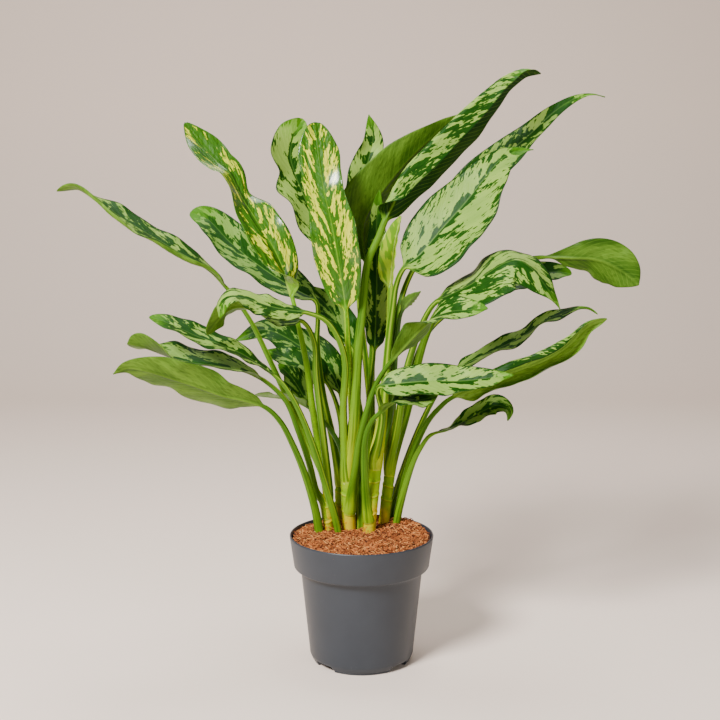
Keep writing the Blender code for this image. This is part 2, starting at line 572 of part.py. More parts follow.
def leaves_of_right_soil():
    return [
        leaf("leaf_21", 31, stem=(3.6, 2.5), shape=(0.4, 0.8), fold=((5,), (5,)), wave=(3, 3, 0.2),
             stalk=[(34, 58, 122), (34, 58, 150), (55, 50, 230), (88, 38, 310)],
             rib=[(111, 34, 341), (138, 30, 358), (173, 26, 375), (195, 24, 388), (209, 21, 400),
                  (227, 19, 408), (250, 17, 417), (264, 15, 417), (275, 14, 411)],
             faces=[(0, -0.35, 0.9)]),
        leaf("leaf_22", 53, stem=(3.7, 2.7), shape=(0.5, 0.75), fold=((0,), (0,)),
             curl=((0, -2.6, -2.6, -2.6, -2, -1), (0.1,)), hinge=((0.35, 0.8), (0, 1)),
             columns=(-1, -0.8, -0.57, -0.35, 0, 0.5, 1),
             stalk=[(43, 48, 122), (43, 48, 150), (58, 32, 230), (78, 16, 283), (92, 8, 302)],
             rib=[(103, 2, 313), (137, -8, 330), (172, -15, 347), (209, -20, 362), (233, -24, 378),
                  (255, -28, 401), (276, -31, 410)],
             faces=[(-0.2, 0.5, 0.8), (-0.3, 0.7, 0.6), (-0.3, 0.7, 0.6), (-0.3, 0.8, 0.5)]),
        leaf("leaf_23", 30, stem=(3.6, 2.4), shape=(1.0, 0.6),
             stalk=[(42, 36, 122), (42, 36, 150), (60, 20, 229), (70, 15, 252)],
             rib=[(81, 14, 267), (106, 4, 279), (143, -10, 302), (158, -14, 308), (168, -18, 303),
                  (168, -20, 291)],
             faces=[(-0.2, 0.5, 0.8), (0, -0.4, 0.8), (0, -0.6, 0.7), (0.8, -0.5, 0.2)]),
        leaf("leaf_24", 36, stem=(3.3, 2.3), shape=(0.6, 0.5),
             stalk=[(27, 66, 122), (27, 66, 150), (38, 76, 210), (63, 88, 334), (85, 92, 384)],
             rib=[(134, 96, 421), (196, 102, 446), (241, 105, 455), (261, 106, 453)],
             faces=[(0, -0.7, 0.7)]),
        leaf("leaf_25", 32, stem=(3.2, 2.4), shape=(0.4, 0.7),
             stalk=[(-2, 27, 122), (-2, 27, 150), (-2, 34, 208), (10, 46, 316)],
             rib=[(15, 52, 361), (18, 52, 436), (18, 49, 525), (21, 47, 554)],
             faces=[(0.2, -1, 0.1)]),
    ]


def leaves_of_back_left_cane():
    leaf("leaf_26", 60, stem=(3.6, 2.6), shape=(0.5, 0.5), fold=((10,), (10,)),
         stalk=[(-31, 60, 197), (-35, 64, 251), (-47, 66, 307), (-54, 67, 368), (-53, 67, 401)],
         rib=[(-55, 66, 421), (-77, 72, 434), (-121, 82, 461), (-161, 92, 492), (-190, 102, 520),
              (-211, 106, 528)],
         faces=[(0.3, -0.7, 0.6)])
    leaf("leaf_27", 54, stem=(3.6, 2.5),
         stalk=[(-22, 69, 197), (-22, 86, 246), (-23, 96, 276)],
         rib=[(-26, 106, 299), (-38, 112, 328), (-78, 124, 360), (-123, 130, 380), (-163, 134, 365)],
         faces=[(0.4, -0.8, 0.45)])
    leaf("leaf_28", 44, stem=(3.2, 2.3),
         stalk=[(-31, 69, 197), (-25, 76, 267)],
         rib=[(-42, 76, 319), (-63, 78, 336), (-117, 86, 360)],
         faces=[(0.4, -0.85, 0.45)])
    leaf("leaf_29", 46, stem=(3.4, 2.5),
         stalk=[(-22, 60, 197), (-14, 66, 263), (-8, 70, 312)],
         rib=[(-10, 76, 360), (-24, 85, 387), (-45, 94, 417), (-70, 99, 439)],
         faces=[(0.5, -0.85, 0.3)])


def leaves_of_back_cane():
    leaf("leaf_30", 56, stem=(3.5, 2.6), shape=(0.6, 0.5), wave=(4, 3, 0),
         stalk=[(7, 70, 197), (6, 82, 235), (-7, 96, 308), (-19, 106, 382)],
         rib=[(-35, 108, 467), (-54, 114, 509), (-82, 120, 574), (-88, 120, 598), (-83, 119, 622),
              (-72, 118, 642)],
         faces=[(0.3, -0.8, 0.4)])
    leaf("leaf_31", 42, stem=(3.5, 2.6), shape=(0.7, 0.9), wave=(4, 3, 0),
         stalk=[(17, 71, 197), (16, 80, 235), (8, 90, 322), (-2, 96, 409)],
         rib=[(-7, 98, 488), (-4, 100, 537), (9, 102, 594), (14, 104, 618), (9, 106, 646)],
         faces=[(0.1, -0.8, 0.4)])
    leaf("leaf_32", 66, stem=(3.6, 2.7), shape=(0.5, 1.0), skew=0.2, colour=LEAF_GREEN,
         stalk=[(12, 60, 197), (12, 62, 328), (13, 62, 379), (9, 62, 435)],
         rib=[(5, 62, 469), (1, 62, 495), (2, 62, 517), (14, 60, 539), (35, 58, 567), (57, 54, 592),
              (78, 48, 612), (97, 44, 629), (112, 40, 641)],
         faces=[(-0.4, 0.8, 0.4)])


def plant():
    clear_scene()
    pot()
    holes = canes()
    leaves_of_left_cane()
    holes += leaves_of_left_soil()
    leaves_of_middle_cane()
    leaves_of_tall_cane()
    leaves_of_right_cane()
    holes += leaves_of_right_soil()
    leaves_of_back_left_cane()
    leaves_of_back_cane()
    soil(holes)


plant()
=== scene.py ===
"""Looks of a potted Chinese evergreen: its leaves, canes, coir and pot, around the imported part.

Sizes are in millimetres, and a mesh is scaled to metres when it is made. The pot's foot stands on
z = 0 with its centre at the origin, +Z is up and -Y is the front.
"""

import math
import random

import bpy
import numpy as np
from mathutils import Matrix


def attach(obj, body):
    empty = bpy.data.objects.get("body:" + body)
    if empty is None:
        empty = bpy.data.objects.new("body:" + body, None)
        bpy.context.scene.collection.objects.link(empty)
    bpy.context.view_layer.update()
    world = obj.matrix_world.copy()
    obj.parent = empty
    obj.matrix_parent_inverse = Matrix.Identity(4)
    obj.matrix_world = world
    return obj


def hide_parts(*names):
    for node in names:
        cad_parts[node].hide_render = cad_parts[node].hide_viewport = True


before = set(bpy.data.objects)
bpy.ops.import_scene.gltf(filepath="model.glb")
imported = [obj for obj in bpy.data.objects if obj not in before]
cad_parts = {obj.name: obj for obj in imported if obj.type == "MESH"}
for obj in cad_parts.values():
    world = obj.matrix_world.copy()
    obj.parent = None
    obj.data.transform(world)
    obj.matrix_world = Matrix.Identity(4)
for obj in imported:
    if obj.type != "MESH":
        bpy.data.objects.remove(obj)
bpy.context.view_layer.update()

MM = 0.001
BODY = "root"

# camera and lamps, in metres, degrees and watts
CAMERA_PLACE = (-0.00186, -1.285, 0.5332)
CAMERA_TILT = 7.727
CAMERA_LENS = 55.98
CAMERA_SENSOR = 36.0
LAMPS_AIM = (0.0, 0.0, 0.35)
LAMPS = {  # place, size, power and colour
    "key_light": ((-1.2, -1.6, 1.9), 0.8, 140.0, (1.0, 0.985, 0.96)),
    "fill_light": ((1.5, -1.5, 1.0), 1.0, 8.0, (1.0, 1.0, 1.0)),
    "top_light": ((0.2, 0.5, 2.3), 1.0, 24.0, (1.0, 1.0, 1.0)),
}
WORLD_COLOUR = (226, 224, 220)
WORLD_STRENGTH = 0.2

# pot
POT_HEIGHT = 152.0
RIM_RADIUS = 85.0
RIM_WALL = 2.2
COLLAR_HEIGHT = 38.6
COLLAR_FOOT_RADIUS = 80.0
BODY_TOP_RADIUS = 71.8
BODY_FOOT_RADIUS = 62.3
FOOT_RADIUS = 57.5
BODY_WALL = 2.2
FLOOR = 9.2
POT_SIDES = 176
ARCH_TURN = 47.5  # degrees from the front, and from the back, to the middle of an arch
ARCH_ANGLE = 27.5  # degrees of the arch between two feet
ARCH_SPLAY = 4.0  # degrees that the arch is wider at the ground, and narrower at its top
ARCH_HEIGHT = 7.0
ARCH_INNER_RADIUS = 32.0
DRAIN_RADIUS = 4.5
DRAIN_AT = 44.0
DRAIN_SIDES = 28
BELOW_FOOT = -2.0  # height at which the arches and drains start to be cut

# soil
SOIL_LEVEL = 147.6
SOIL_DOME = 1.8
SOIL_GAP = 1.4  # to the rim's wall
HEAP = (48.0, 44.0)
HEAP_RISE = 7.0
HEAP_SPREAD = 20.0
GROUND_SIDES = 120
GROUND_RINGS = 62

# leaves
BLADE_THICKNESS = 0.9
EDGE_THICKNESS = 0.45
KEEL_DEPTH = 1.8
KEEL_WIDTH = 1.7
GROOVE_DEPTH = 0.4  # of the midrib in the upper face
GROOVE_WIDTH = 1.4
BLEND_LENGTH = 14.0  # over which the round petiole opens in to the blade
LEAST_BEND = 2.0  # radius of the tightest roll of a blade
LEAST_HALF = 0.6  # half width of a blade at its tip
PETIOLE_STEP = 5.0
STEM_SWELL = 0.8  # that a petiole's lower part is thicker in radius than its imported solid
CHANNEL_DEPTH = 0.28  # of the petiole's channel, as a share of the radius
CHANNEL_WIDTH = 0.55  # radians
UPPER_ANGLE = 87  # degrees from the petiole's top to where its upper side ends
WING = 0.22  # share by which a petiole's foot is broader than it is deep
SHEATH_LENGTH = 26.0  # over which a sheath narrows to its petiole
SHEATH_LIP = 0.3  # that it stands out from the cane
SHEATH_APART = 0.25  # between the radii of sheaths on one cane's top
SHEATH_RISE = 1.6  # over which it comes out of the cane
SPAN_STEPS = 24  # of a leaf's middle line between two of its points
BLADE_STEP = 2.3
HALF_COLUMNS = 13  # steps across one half of the blade
COLUMN_POWER = 1.1  # draws the columns together at the rib
FINE_STEPS = 5  # between two columns, over which a bend is added up
FINE_RIPPLE = 0.7  # height of the small ripple along the edges of every blade
FINE_RIPPLES = 6.3
VEIN_SPACING = 8.5
VEIN_LEAN = 1.25  # how far a lateral vein runs on towards the tip, per distance from the rib
VEIN_CURVE = 0.012
QUILT = 0.25  # rise of the blade between two lateral veins
PATTERN_SHIFT = 3.7  # of the noise from one leaf to the next, so that their patterns differ


def srgb(red, green, blue):
    """Linear colour of an sRGB one, given from 0 to 255."""
    return tuple(c / 3294.6 if c <= 10 else ((c / 255 + 0.055) / 1.055) ** 2.4 for c in (red, green, blue))


class Socket:
    """An output of a node, which takes part in arithmetic and so adds Math nodes."""

    def __init__(self, graph, link):
        self.graph = graph
        self.link = link

    def math(self, operation, *others):
        return self.graph.math(operation, self, *others)

    def __add__(self, other):
        return self.math("ADD", other)

    def __sub__(self, other):
        return self.math("SUBTRACT", other)

    def __rsub__(self, other):
        return self.graph.math("SUBTRACT", other, self)

    def __mul__(self, other):
        return self.math("MULTIPLY", other)

    def __truediv__(self, other):
        return self.math("DIVIDE", other)

    def __abs__(self):
        return self.math("ABSOLUTE")

    __radd__ = __add__
    __rmul__ = __mul__

    def above(self, value):
        return self.math("GREATER_THAN", value)

    def bell(self, width):
        """1 at zero, falling off on both sides over the width."""
        return (self * self / -(width**2)).math("EXPONENT")


class Graph:
    """A node tree. One method adds every kind of node."""

    def __init__(self, tree):
        self.tree = tree

    def node(self, kind, settings=None, values=None, output=0):
        """Adds a node, sets it up, then fills its sockets with values or links. Gives an output."""
        node = self.tree.nodes.new(kind)
        for key, value in (settings or {}).items():
            if key == "stops":
                self.set_stops(node.color_ramp.elements, value)
            else:
                setattr(node, key, value)
        for key, value in (values or {}).items():
            self.fill(node.inputs[key], value)
        return Socket(self, node.outputs[output])

    def fill(self, place, value):
        if isinstance(value, Socket):
            self.tree.links.new(value.link, place)
        elif isinstance(value, tuple) and len(value) == 3 and place.type == "RGBA":
            place.default_value = (*value, 1.0)
        else:
            place.default_value = value

    @staticmethod
    def set_stops(elements, stops):
        while len(elements) < len(stops):
            elements.new(0.5)
        for element, (position, colour) in zip(elements, stops):
            element.position = position
            element.color = (*colour, 1.0)

    def math(self, operation, *values):
        return self.node("ShaderNodeMath", {"operation": operation}, dict(enumerate(values)))

    def parts(self, vector):
        """The three numbers of a vector."""
        split = self.node("ShaderNodeSeparateXYZ", None, {0: vector}).link.node
        return [Socket(self, output) for output in split.outputs]


class Finish(Graph):
    """A material whose Principled shader is fed by procedural nodes."""

    def __init__(self, name, roughness, specular=0.4):
        self.material = bpy.data.materials.new(name)
        self.material.use_nodes = True
        super().__init__(self.material.node_tree)
        self.shader = self.tree.nodes["Principled BSDF"]
        self.feed("Roughness", roughness)
        self.feed("Specular IOR Level", specular)

    def feed(self, name, value):
        """Sets a socket of the shader, or links it."""
        self.fill(self.shader.inputs[name], value)

    def bump(self, height, strength, distance):
        values = {"Strength": strength, "Distance": distance * MM, "Height": height}
        self.feed("Normal", self.node("ShaderNodeBump", None, values))

    def attribute(self, name):
        """The three numbers of a vector attribute."""
        return self.parts(self.node("ShaderNodeAttribute", {"attribute_name": name}, output="Vector"))

    def number(self, name):
        return self.node("ShaderNodeAttribute", {"attribute_name": name}, output="Fac")

    def object_place(self):
        return self.node("ShaderNodeTexCoord", output="Object")

    def vector(self, x, y, z):
        return self.node("ShaderNodeCombineXYZ", None, {0: x, 1: y, 2: z})

    def noise(self, place, scale=1.0, detail=2.0, roughness=0.5):
        values = {"Vector": place, "Scale": scale, "Detail": detail, "Roughness": roughness}
        return self.node("ShaderNodeTexNoise", None, values)

    def step(self, value, low, high):
        """0 below low and 1 above high, smooth between them."""
        values = {"Value": value, "From Min": low, "From Max": high}
        return self.node("ShaderNodeMapRange", {"interpolation_type": "SMOOTHSTEP"}, values)

    def mix(self, share, first, second):
        return self.node("ShaderNodeMix", {"data_type": "RGBA"}, {0: share, 6: first, 7: second}, output=2)


def new_object(name, points, faces, collection=None):
    """A mesh object in the scene, or in a collection of its own."""
    mesh = bpy.data.meshes.new(name)
    mesh.from_pydata((np.asarray(points, float) * MM).tolist(), [], faces)
    obj = bpy.data.objects.new(name, mesh)
    home = bpy.context.scene.collection if collection is None else collection
    home.objects.link(obj)
    return obj


def smooth_object(name, points, faces, finish):
    obj = new_object(name, points, faces)
    obj.data.shade_smooth()
    obj.data.materials.append(finish.material)
    return obj


def add_attribute(obj, name, values):
    """Stores one number or one vector for each point."""
    values = np.asarray(values, np.float32)
    kind = "FLOAT" if values.ndim == 1 else "FLOAT_VECTOR"
    attribute = obj.data.attributes.new(name, kind, "POINT")
    attribute.data.foreach_set("value" if values.ndim == 1 else "vector", values.ravel())


def plain_copy(obj, name):
    """The evaluated object as a mesh without modifiers, in place of the object."""
    graph = bpy.context.evaluated_depsgraph_get()
    mesh = bpy.data.meshes.new_from_object(obj.evaluated_get(graph))
    mesh.name = name
    copy = bpy.data.objects.new(name, mesh)
    bpy.context.scene.collection.objects.link(copy)
    bpy.data.objects.remove(obj)
    return copy


def finish_piece(obj, slot, *nodes):
    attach(obj, BODY)
    if nodes:
        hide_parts(*nodes)


def circle(radius, z, sides):
    angle = np.linspace(0, 2 * math.pi, sides, endpoint=False)
    return np.stack([radius * np.cos(angle), radius * np.sin(angle), np.full(sides, z)], 1)


def ring_faces(rings, sides, start=0):
    """Quads between successive rings of equal count."""
    faces = []
    for i in range(rings - 1):
        for j in range(sides):
            a = start + i * sides + j
            b = start + i * sides + (j + 1) % sides
            faces.append((a, b, b + sides, a + sides))
    return faces


def closed_skin(rings, first, last):
    """Points and faces of rings of equal count, closed by a point at either end."""
    sides = len(rings[0])
    points = np.vstack([[first], *rings, [last]])
    faces = [(0, 1 + (j + 1) % sides, 1 + j) for j in range(sides)]
    faces += ring_faces(len(rings), sides, 1)
    end = 1 + (len(rings) - 1) * sides
    faces += [(len(points) - 1, end + j, end + (j + 1) % sides) for j in range(sides)]
    return points, faces


def bell(distance, width):
    """1 at zero, falling off on both sides over the width."""
    return np.exp(-((distance / width) ** 2))


# Leaves


def smooth_line(points):
    """Centripetal curve through the points, in even steps between each two."""
    points = np.array(points, float)
    points = np.vstack([2 * points[0] - points[1], points, 2 * points[-1] - points[-2]])
    line = []
    for p0, p1, p2, p3 in zip(points, points[1:], points[2:], points[3:]):
        t1 = np.linalg.norm(p1 - p0) ** 0.5
        t2 = t1 + np.linalg.norm(p2 - p1) ** 0.5
        t3 = t2 + np.linalg.norm(p3 - p2) ** 0.5
        for t in np.linspace(t1, t2, SPAN_STEPS, endpoint=False):
            a1 = ((t1 - t) * p0 + t * p1) / t1
            a2 = ((t2 - t) * p1 + (t - t1) * p2) / (t2 - t1)
            a3 = ((t3 - t) * p2 + (t - t2) * p3) / (t3 - t2)
            b1 = ((t2 - t) * a1 + t * a2) / t2
            b2 = ((t3 - t) * a2 + (t - t1) * a3) / (t3 - t1)
            line.append(((t2 - t) * b1 + (t - t1) * b2) / (t2 - t1))
    return np.array([*line, points[-2]])


def smooth(share):
    return share * share * (3 - 2 * share)


def ease(values, at):
    """Smooth run through evenly spaced values, or one value, for places from 0 to 1."""
    values = np.atleast_1d(np.asarray(values, float))
    if len(values) == 1:
        values = np.repeat(values, 2, axis=0)
    x = np.clip(at, 0, 1) * (len(values) - 1)
    i = np.minimum(x.astype(int), len(values) - 2)
    f = smooth(x - i)
    if values.ndim > 1:
        f = f[:, None]
    return values[i] * (1 - f) + values[i + 1] * f


def outline(at, base_power, tip_power):
    """Half width along the blade, as a share of its widest."""
    peak = base_power / (base_power + tip_power)
    widest = peak**base_power * (1 - peak) ** tip_power
    return np.clip(at, 0, 1) ** base_power * np.clip(1 - at, 0, 1) ** tip_power / widest


class Leaf:
    """Places, directions and widths along one leaf, at the rows of its fine mesh."""

    def __init__(self, row, stalk):
        line = smooth_line([*stalk, *row["rib"]])
        run = np.concatenate([[0.0], np.cumsum(np.linalg.norm(np.diff(line, axis=0), axis=1))])
        self.base = run[SPAN_STEPS * len(stalk)]
        length = run[-1] - self.base
        petiole = np.linspace(0, self.base, round(self.base / PETIOLE_STEP) + 1)[:-1]
        foot = np.linspace(0, 3 * SHEATH_RISE, 7)
        k = np.linspace(0, 1, round(length / BLADE_STEP) + 1)
        crowded = 0.175 * (1 - np.cos(math.pi * k))  # draws the rows together at both ends
        blade = self.base + (0.65 * k + crowded) * length
        opening = self.base + np.linspace(0, BLEND_LENGTH, 9)[1:-1]
        self.at = np.unique(np.concatenate([foot, petiole, blade, opening]))
        self.share = np.clip((self.at - self.base) / length, 0, 1)

        def along(place):
            return np.stack([np.interp(place, run, line[:, axis]) for axis in range(3)], 1)

        self.centre = along(self.at)
        ahead = along(self.at + 1) - along(self.at - 1)
        self.ahead = ahead / np.linalg.norm(ahead, axis=1)[:, None]
        self.normal = self.normals(row["faces"])
        self.right = np.cross(self.ahead, self.normal)
        self.half = np.maximum(row["width"] / 2 * outline(self.share, *row["shape"]), LEAST_HALF)
        self.opened = smooth(np.clip((self.at - self.base) / BLEND_LENGTH, 0, 1))

    def normals(self, faces):
        """Where the upper face looks, square to the rib. The petiole follows the blade's base."""
        looks = ease(faces, self.share)
        normal = np.zeros_like(self.ahead)
        for i in reversed(range(len(self.at))):
            look = looks[i] if self.at[i] >= self.base else normal[i + 1]
            look = look - look.dot(self.ahead[i]) * self.ahead[i]
            normal[i] = look / np.linalg.norm(look)
        return normal


def half_blade(leaf, row, index, seed):
    """One half of the blade: its columns, their distance from the rib, their places and normals.

    index 0 is the left half, where columns and distances are negative, and 1 the right one. The
    arrays are rings by columns, from the rib to the edge. A place or a normal is across and up.
    """
    side = 2 * index - 1
    columns = np.linspace(0, 1, HALF_COLUMNS * row["finer"] + 1) ** COLUMN_POWER
    steps = len(columns) - 1
    dense = np.interp(np.linspace(0, steps, steps * FINE_STEPS + 1), np.arange(steps + 1), columns)
    width = leaf.half * (1 + side * row["skew"]) * ease(row["trim"][index], leaf.share)
    start, end = row["hinge"][index]
    most = width * (end - start) / LEAST_BEND
    bend = np.clip(ease(row["curl"][index], leaf.share), -most, most)
    fold = np.radians(ease(row["fold"][index], leaf.share))
    slope = fold[:, None] + bend[:, None] * np.clip((dense - start) / (end - start), 0, 1)

    def reach(rate):
        gained = np.cumsum((rate[:, 1:] + rate[:, :-1]) / 2 * np.diff(dense), axis=1)
        return width[:, None] * np.hstack([np.zeros((len(width), 1)), gained])[:, ::FINE_STEPS]

    place = np.stack([reach(np.cos(slope)) * side, reach(np.sin(slope))], -1)
    lean = slope[:, ::FINE_STEPS]
    normal = np.stack([-np.sin(lean) * side, np.cos(lean)], -1)

    height, count, phase = row["wave"]
    ripple = height * np.sin(2 * math.pi * (count * leaf.share + phase + 0.25 * index))
    fine = FINE_RIPPLE * np.sin(2 * math.pi * (FINE_RIPPLES * leaf.share + 0.37 * seed + 0.5 * index))
    ripple = (ripple + fine) * np.sin(math.pi * leaf.share) ** 0.5
    from_rib = width[:, None] * columns
    vein = (leaf.at - leaf.base)[:, None] - VEIN_LEAN * from_rib - VEIN_CURVE * from_rib**2
    quilt = 0.5 - 0.5 * np.cos(2 * math.pi * vein / VEIN_SPACING + seed)
    quilt = QUILT * quilt * np.clip(from_rib / 4, 0, 1) * (1 - columns**4)
    groove = GROOVE_DEPTH * bell(from_rib, GROOVE_WIDTH) * (1 - leaf.share)[:, None]
    rise = ripple[:, None] * columns**2 + quilt - groove
    columns = np.broadcast_to(side * columns, from_rib.shape)
    return columns, side * from_rib, place + normal * rise[..., None], normal


def blade_sections(leaf, row, seed):
    """Closed outlines across the blade: upper face from left to right, lower face back."""
    halves = [half_blade(leaf, row, index, seed) for index in (0, 1)]
    columns, across, upper, normal = (np.hstack([left[:, :0:-1], right]) for left, right in zip(*halves))
    deep = KEEL_DEPTH * (1 - leaf.share) ** 1.2 * np.minimum(1, leaf.half / 6)
    thick = EDGE_THICKNESS + (BLADE_THICKNESS - EDGE_THICKNESS) * (1 - columns**6)
    thick = thick + deep[:, None] * bell(across, KEEL_WIDTH)
    lower = upper - normal * thick[..., None]
    return columns, across, np.hstack([upper, lower[:, ::-1]])


def stem_sections(leaf, row, columns, foot_radius):
    """Petiole with a channel along its upper side. On a cane its foot is a sheath."""
    at = np.clip(leaf.at / leaf.base, 0, 1)
    radius = row["stem"][1] + (row["stem"][0] + STEM_SWELL - row["stem"][1]) * (1 - at**2)
    depth = CHANNEL_DEPTH * (1 - 0.6 * at)
    wing = WING * bell(at, 0.45)
    if foot_radius:
        sheath = bell(leaf.at, SHEATH_LENGTH)
        radius = radius + (foot_radius - radius) * sheath
        radius = radius * (1 - 0.08 * np.exp(-leaf.at / SHEATH_RISE))
        depth = depth * (1 - sheath)
        wing = wing * (1 - sheath)
    spread = np.radians(UPPER_ANGLE * columns)
    turn = np.hstack([math.pi / 2 - spread, -math.pi / 2 + spread[:, ::-1]])
    size = radius[:, None] * (1 - depth[:, None] * bell(turn - math.pi / 2, CHANNEL_WIDTH))
    return np.stack([np.cos(turn) * size * (1 + wing[:, None]), np.sin(turn) * size], -1)


def add_leaf(row):
    """One leaf as a closed mesh. Its attributes tell where on the leaf each point lies."""
    seed = int(row["name"][-2:])
    stalk, foot_radius = row["stalk"], 0.0
    if row["cane"]:
        stalk, foot_radius = sheathed(CANES[row["cane"]], stalk, seed % 4)
    leaf = Leaf(row, stalk)
    columns, across, blade = blade_sections(leaf, row, seed)
    stem = stem_sections(leaf, row, columns, foot_radius)
    opened = leaf.opened[:, None]
    section = stem * (1 - opened[..., None]) + blade * opened[..., None]
    points = leaf.centre[:, None] + section[..., :1] * leaf.right[:, None]
    points = points + section[..., 1:] * leaf.normal[:, None]
    rings, around = points.shape[:2]
    faces = ring_faces(rings, around)
    last = (rings - 1) * around
    for j in range(around // 2 - 1):
        a, b, c, d = j, j + 1, around - 2 - j, around - 1 - j
        faces.append((a, d, c, b))
        faces.append((last + a, last + b, last + c, last + d))
    obj = smooth_object(row["name"] + "_blade", points.reshape(-1, 3), faces, LEAF_LOOKS[row["look"]])

    def store(name, *values):
        fields = [np.broadcast_to(value, (rings, around)).ravel() for value in values]
        add_attribute(obj, name, fields[0] if len(fields) == 1 else np.stack(fields, 1))

    def on_both(upper):
        return np.hstack([upper, upper[:, ::-1]])

    at = leaf.at[:, None]
    store("place", at - leaf.base, on_both(across), PATTERN_SHIFT * seed)
    store("which", np.repeat([1.0, 0.0], around // 2), opened, on_both(columns))
    store("run", np.clip(at / leaf.base, 0, 1), leaf.share[:, None], at)
    store("tint", *row["tint"])
    store("ripe", row["ripe"])
    finish_piece(obj, LEAF_SLOTS[row["look"]], row["name"])


LEAF_DEFAULTS = dict(
    cane=None,  # from which its petiole comes, or else from the soil
    look="silver",
    tint=(0.6, 0.6, 0.5),  # lightness of the silver, share of dark, lightness of the underside, from 0 to 1; both lightnesses are partly the leaf's own tone and partly painted light and shade for how much light the leaf gets
    fold=(8, 8),  # degrees that the left and the right half rise from the rib
    curl=(0.2, 0.2),  # radians that they bend on
    hinge=((0, 1), (0, 1)),  # shares of the half between which they bend
    wave=(2, 3, 0.0),  # height, count and phase of the ripple along the edges
    stem=(3.6, 2.5),  # radius of the petiole at its foot and at the blade
    shape=(0.62, 0.95),  # powers of the outline at base and tip
    skew=0.0,  # share by which the right half is wider than the mean
    trim=(1, 1),  # times the half widths
    finer=1,  # times the usual columns across the blade
    ripe=0.0,  # how yellow the petiole's lower part is, from 0 to 1
)


def leaf(name, width, stalk, rib, faces, **form):
    """One leaf: a petiole through the stalk points and a blade on the rib points.

    faces: where the upper face looks, at even steps from the blade's base to its tip. The folds,
    curls and trims of the two halves are single numbers or run at such steps too.
    """
    row = dict(name=name, width=width, stalk=stalk, rib=rib, faces=faces)
    add_leaf({**LEAF_DEFAULTS, **row, **form})


def centre_at(axis, z):
    """Where a cane's middle line is at that height."""
    return np.array([np.interp(z, axis[:, 2], axis[:, i]) for i in (0, 1)])


def sheathed(cane, stalk, rank):
    """The stalk led in to the cane that it comes from, and the radius of its sheath there.

    rank, from 0 to 3, sets the sheaths on one cane's top a little apart.
    """
    axis = np.array(cane["axis"], float)
    foot = np.array(stalk[0], float)
    top = axis[-1][2]
    on_top = foot[2] > top
    # height of each new point, and the share of the way that it lies out towards the petiole's own foot
    if on_top:
        leads = ((top - 3.0, 0.0), (top + 11.0, 0.35))
    else:
        leads = ((foot[2] - 6.0, 0.05), (foot[2] + 16.0, 0.5))
    points = []
    for z, share in leads:
        centre = centre_at(axis, z)
        points.append((*(centre + share * (foot[:2] - centre)), z))
    radius = cane["radius"] + SHEATH_LIP - (SHEATH_APART * rank if on_top else 0.0)
    return [*points, *stalk[1:]], radius


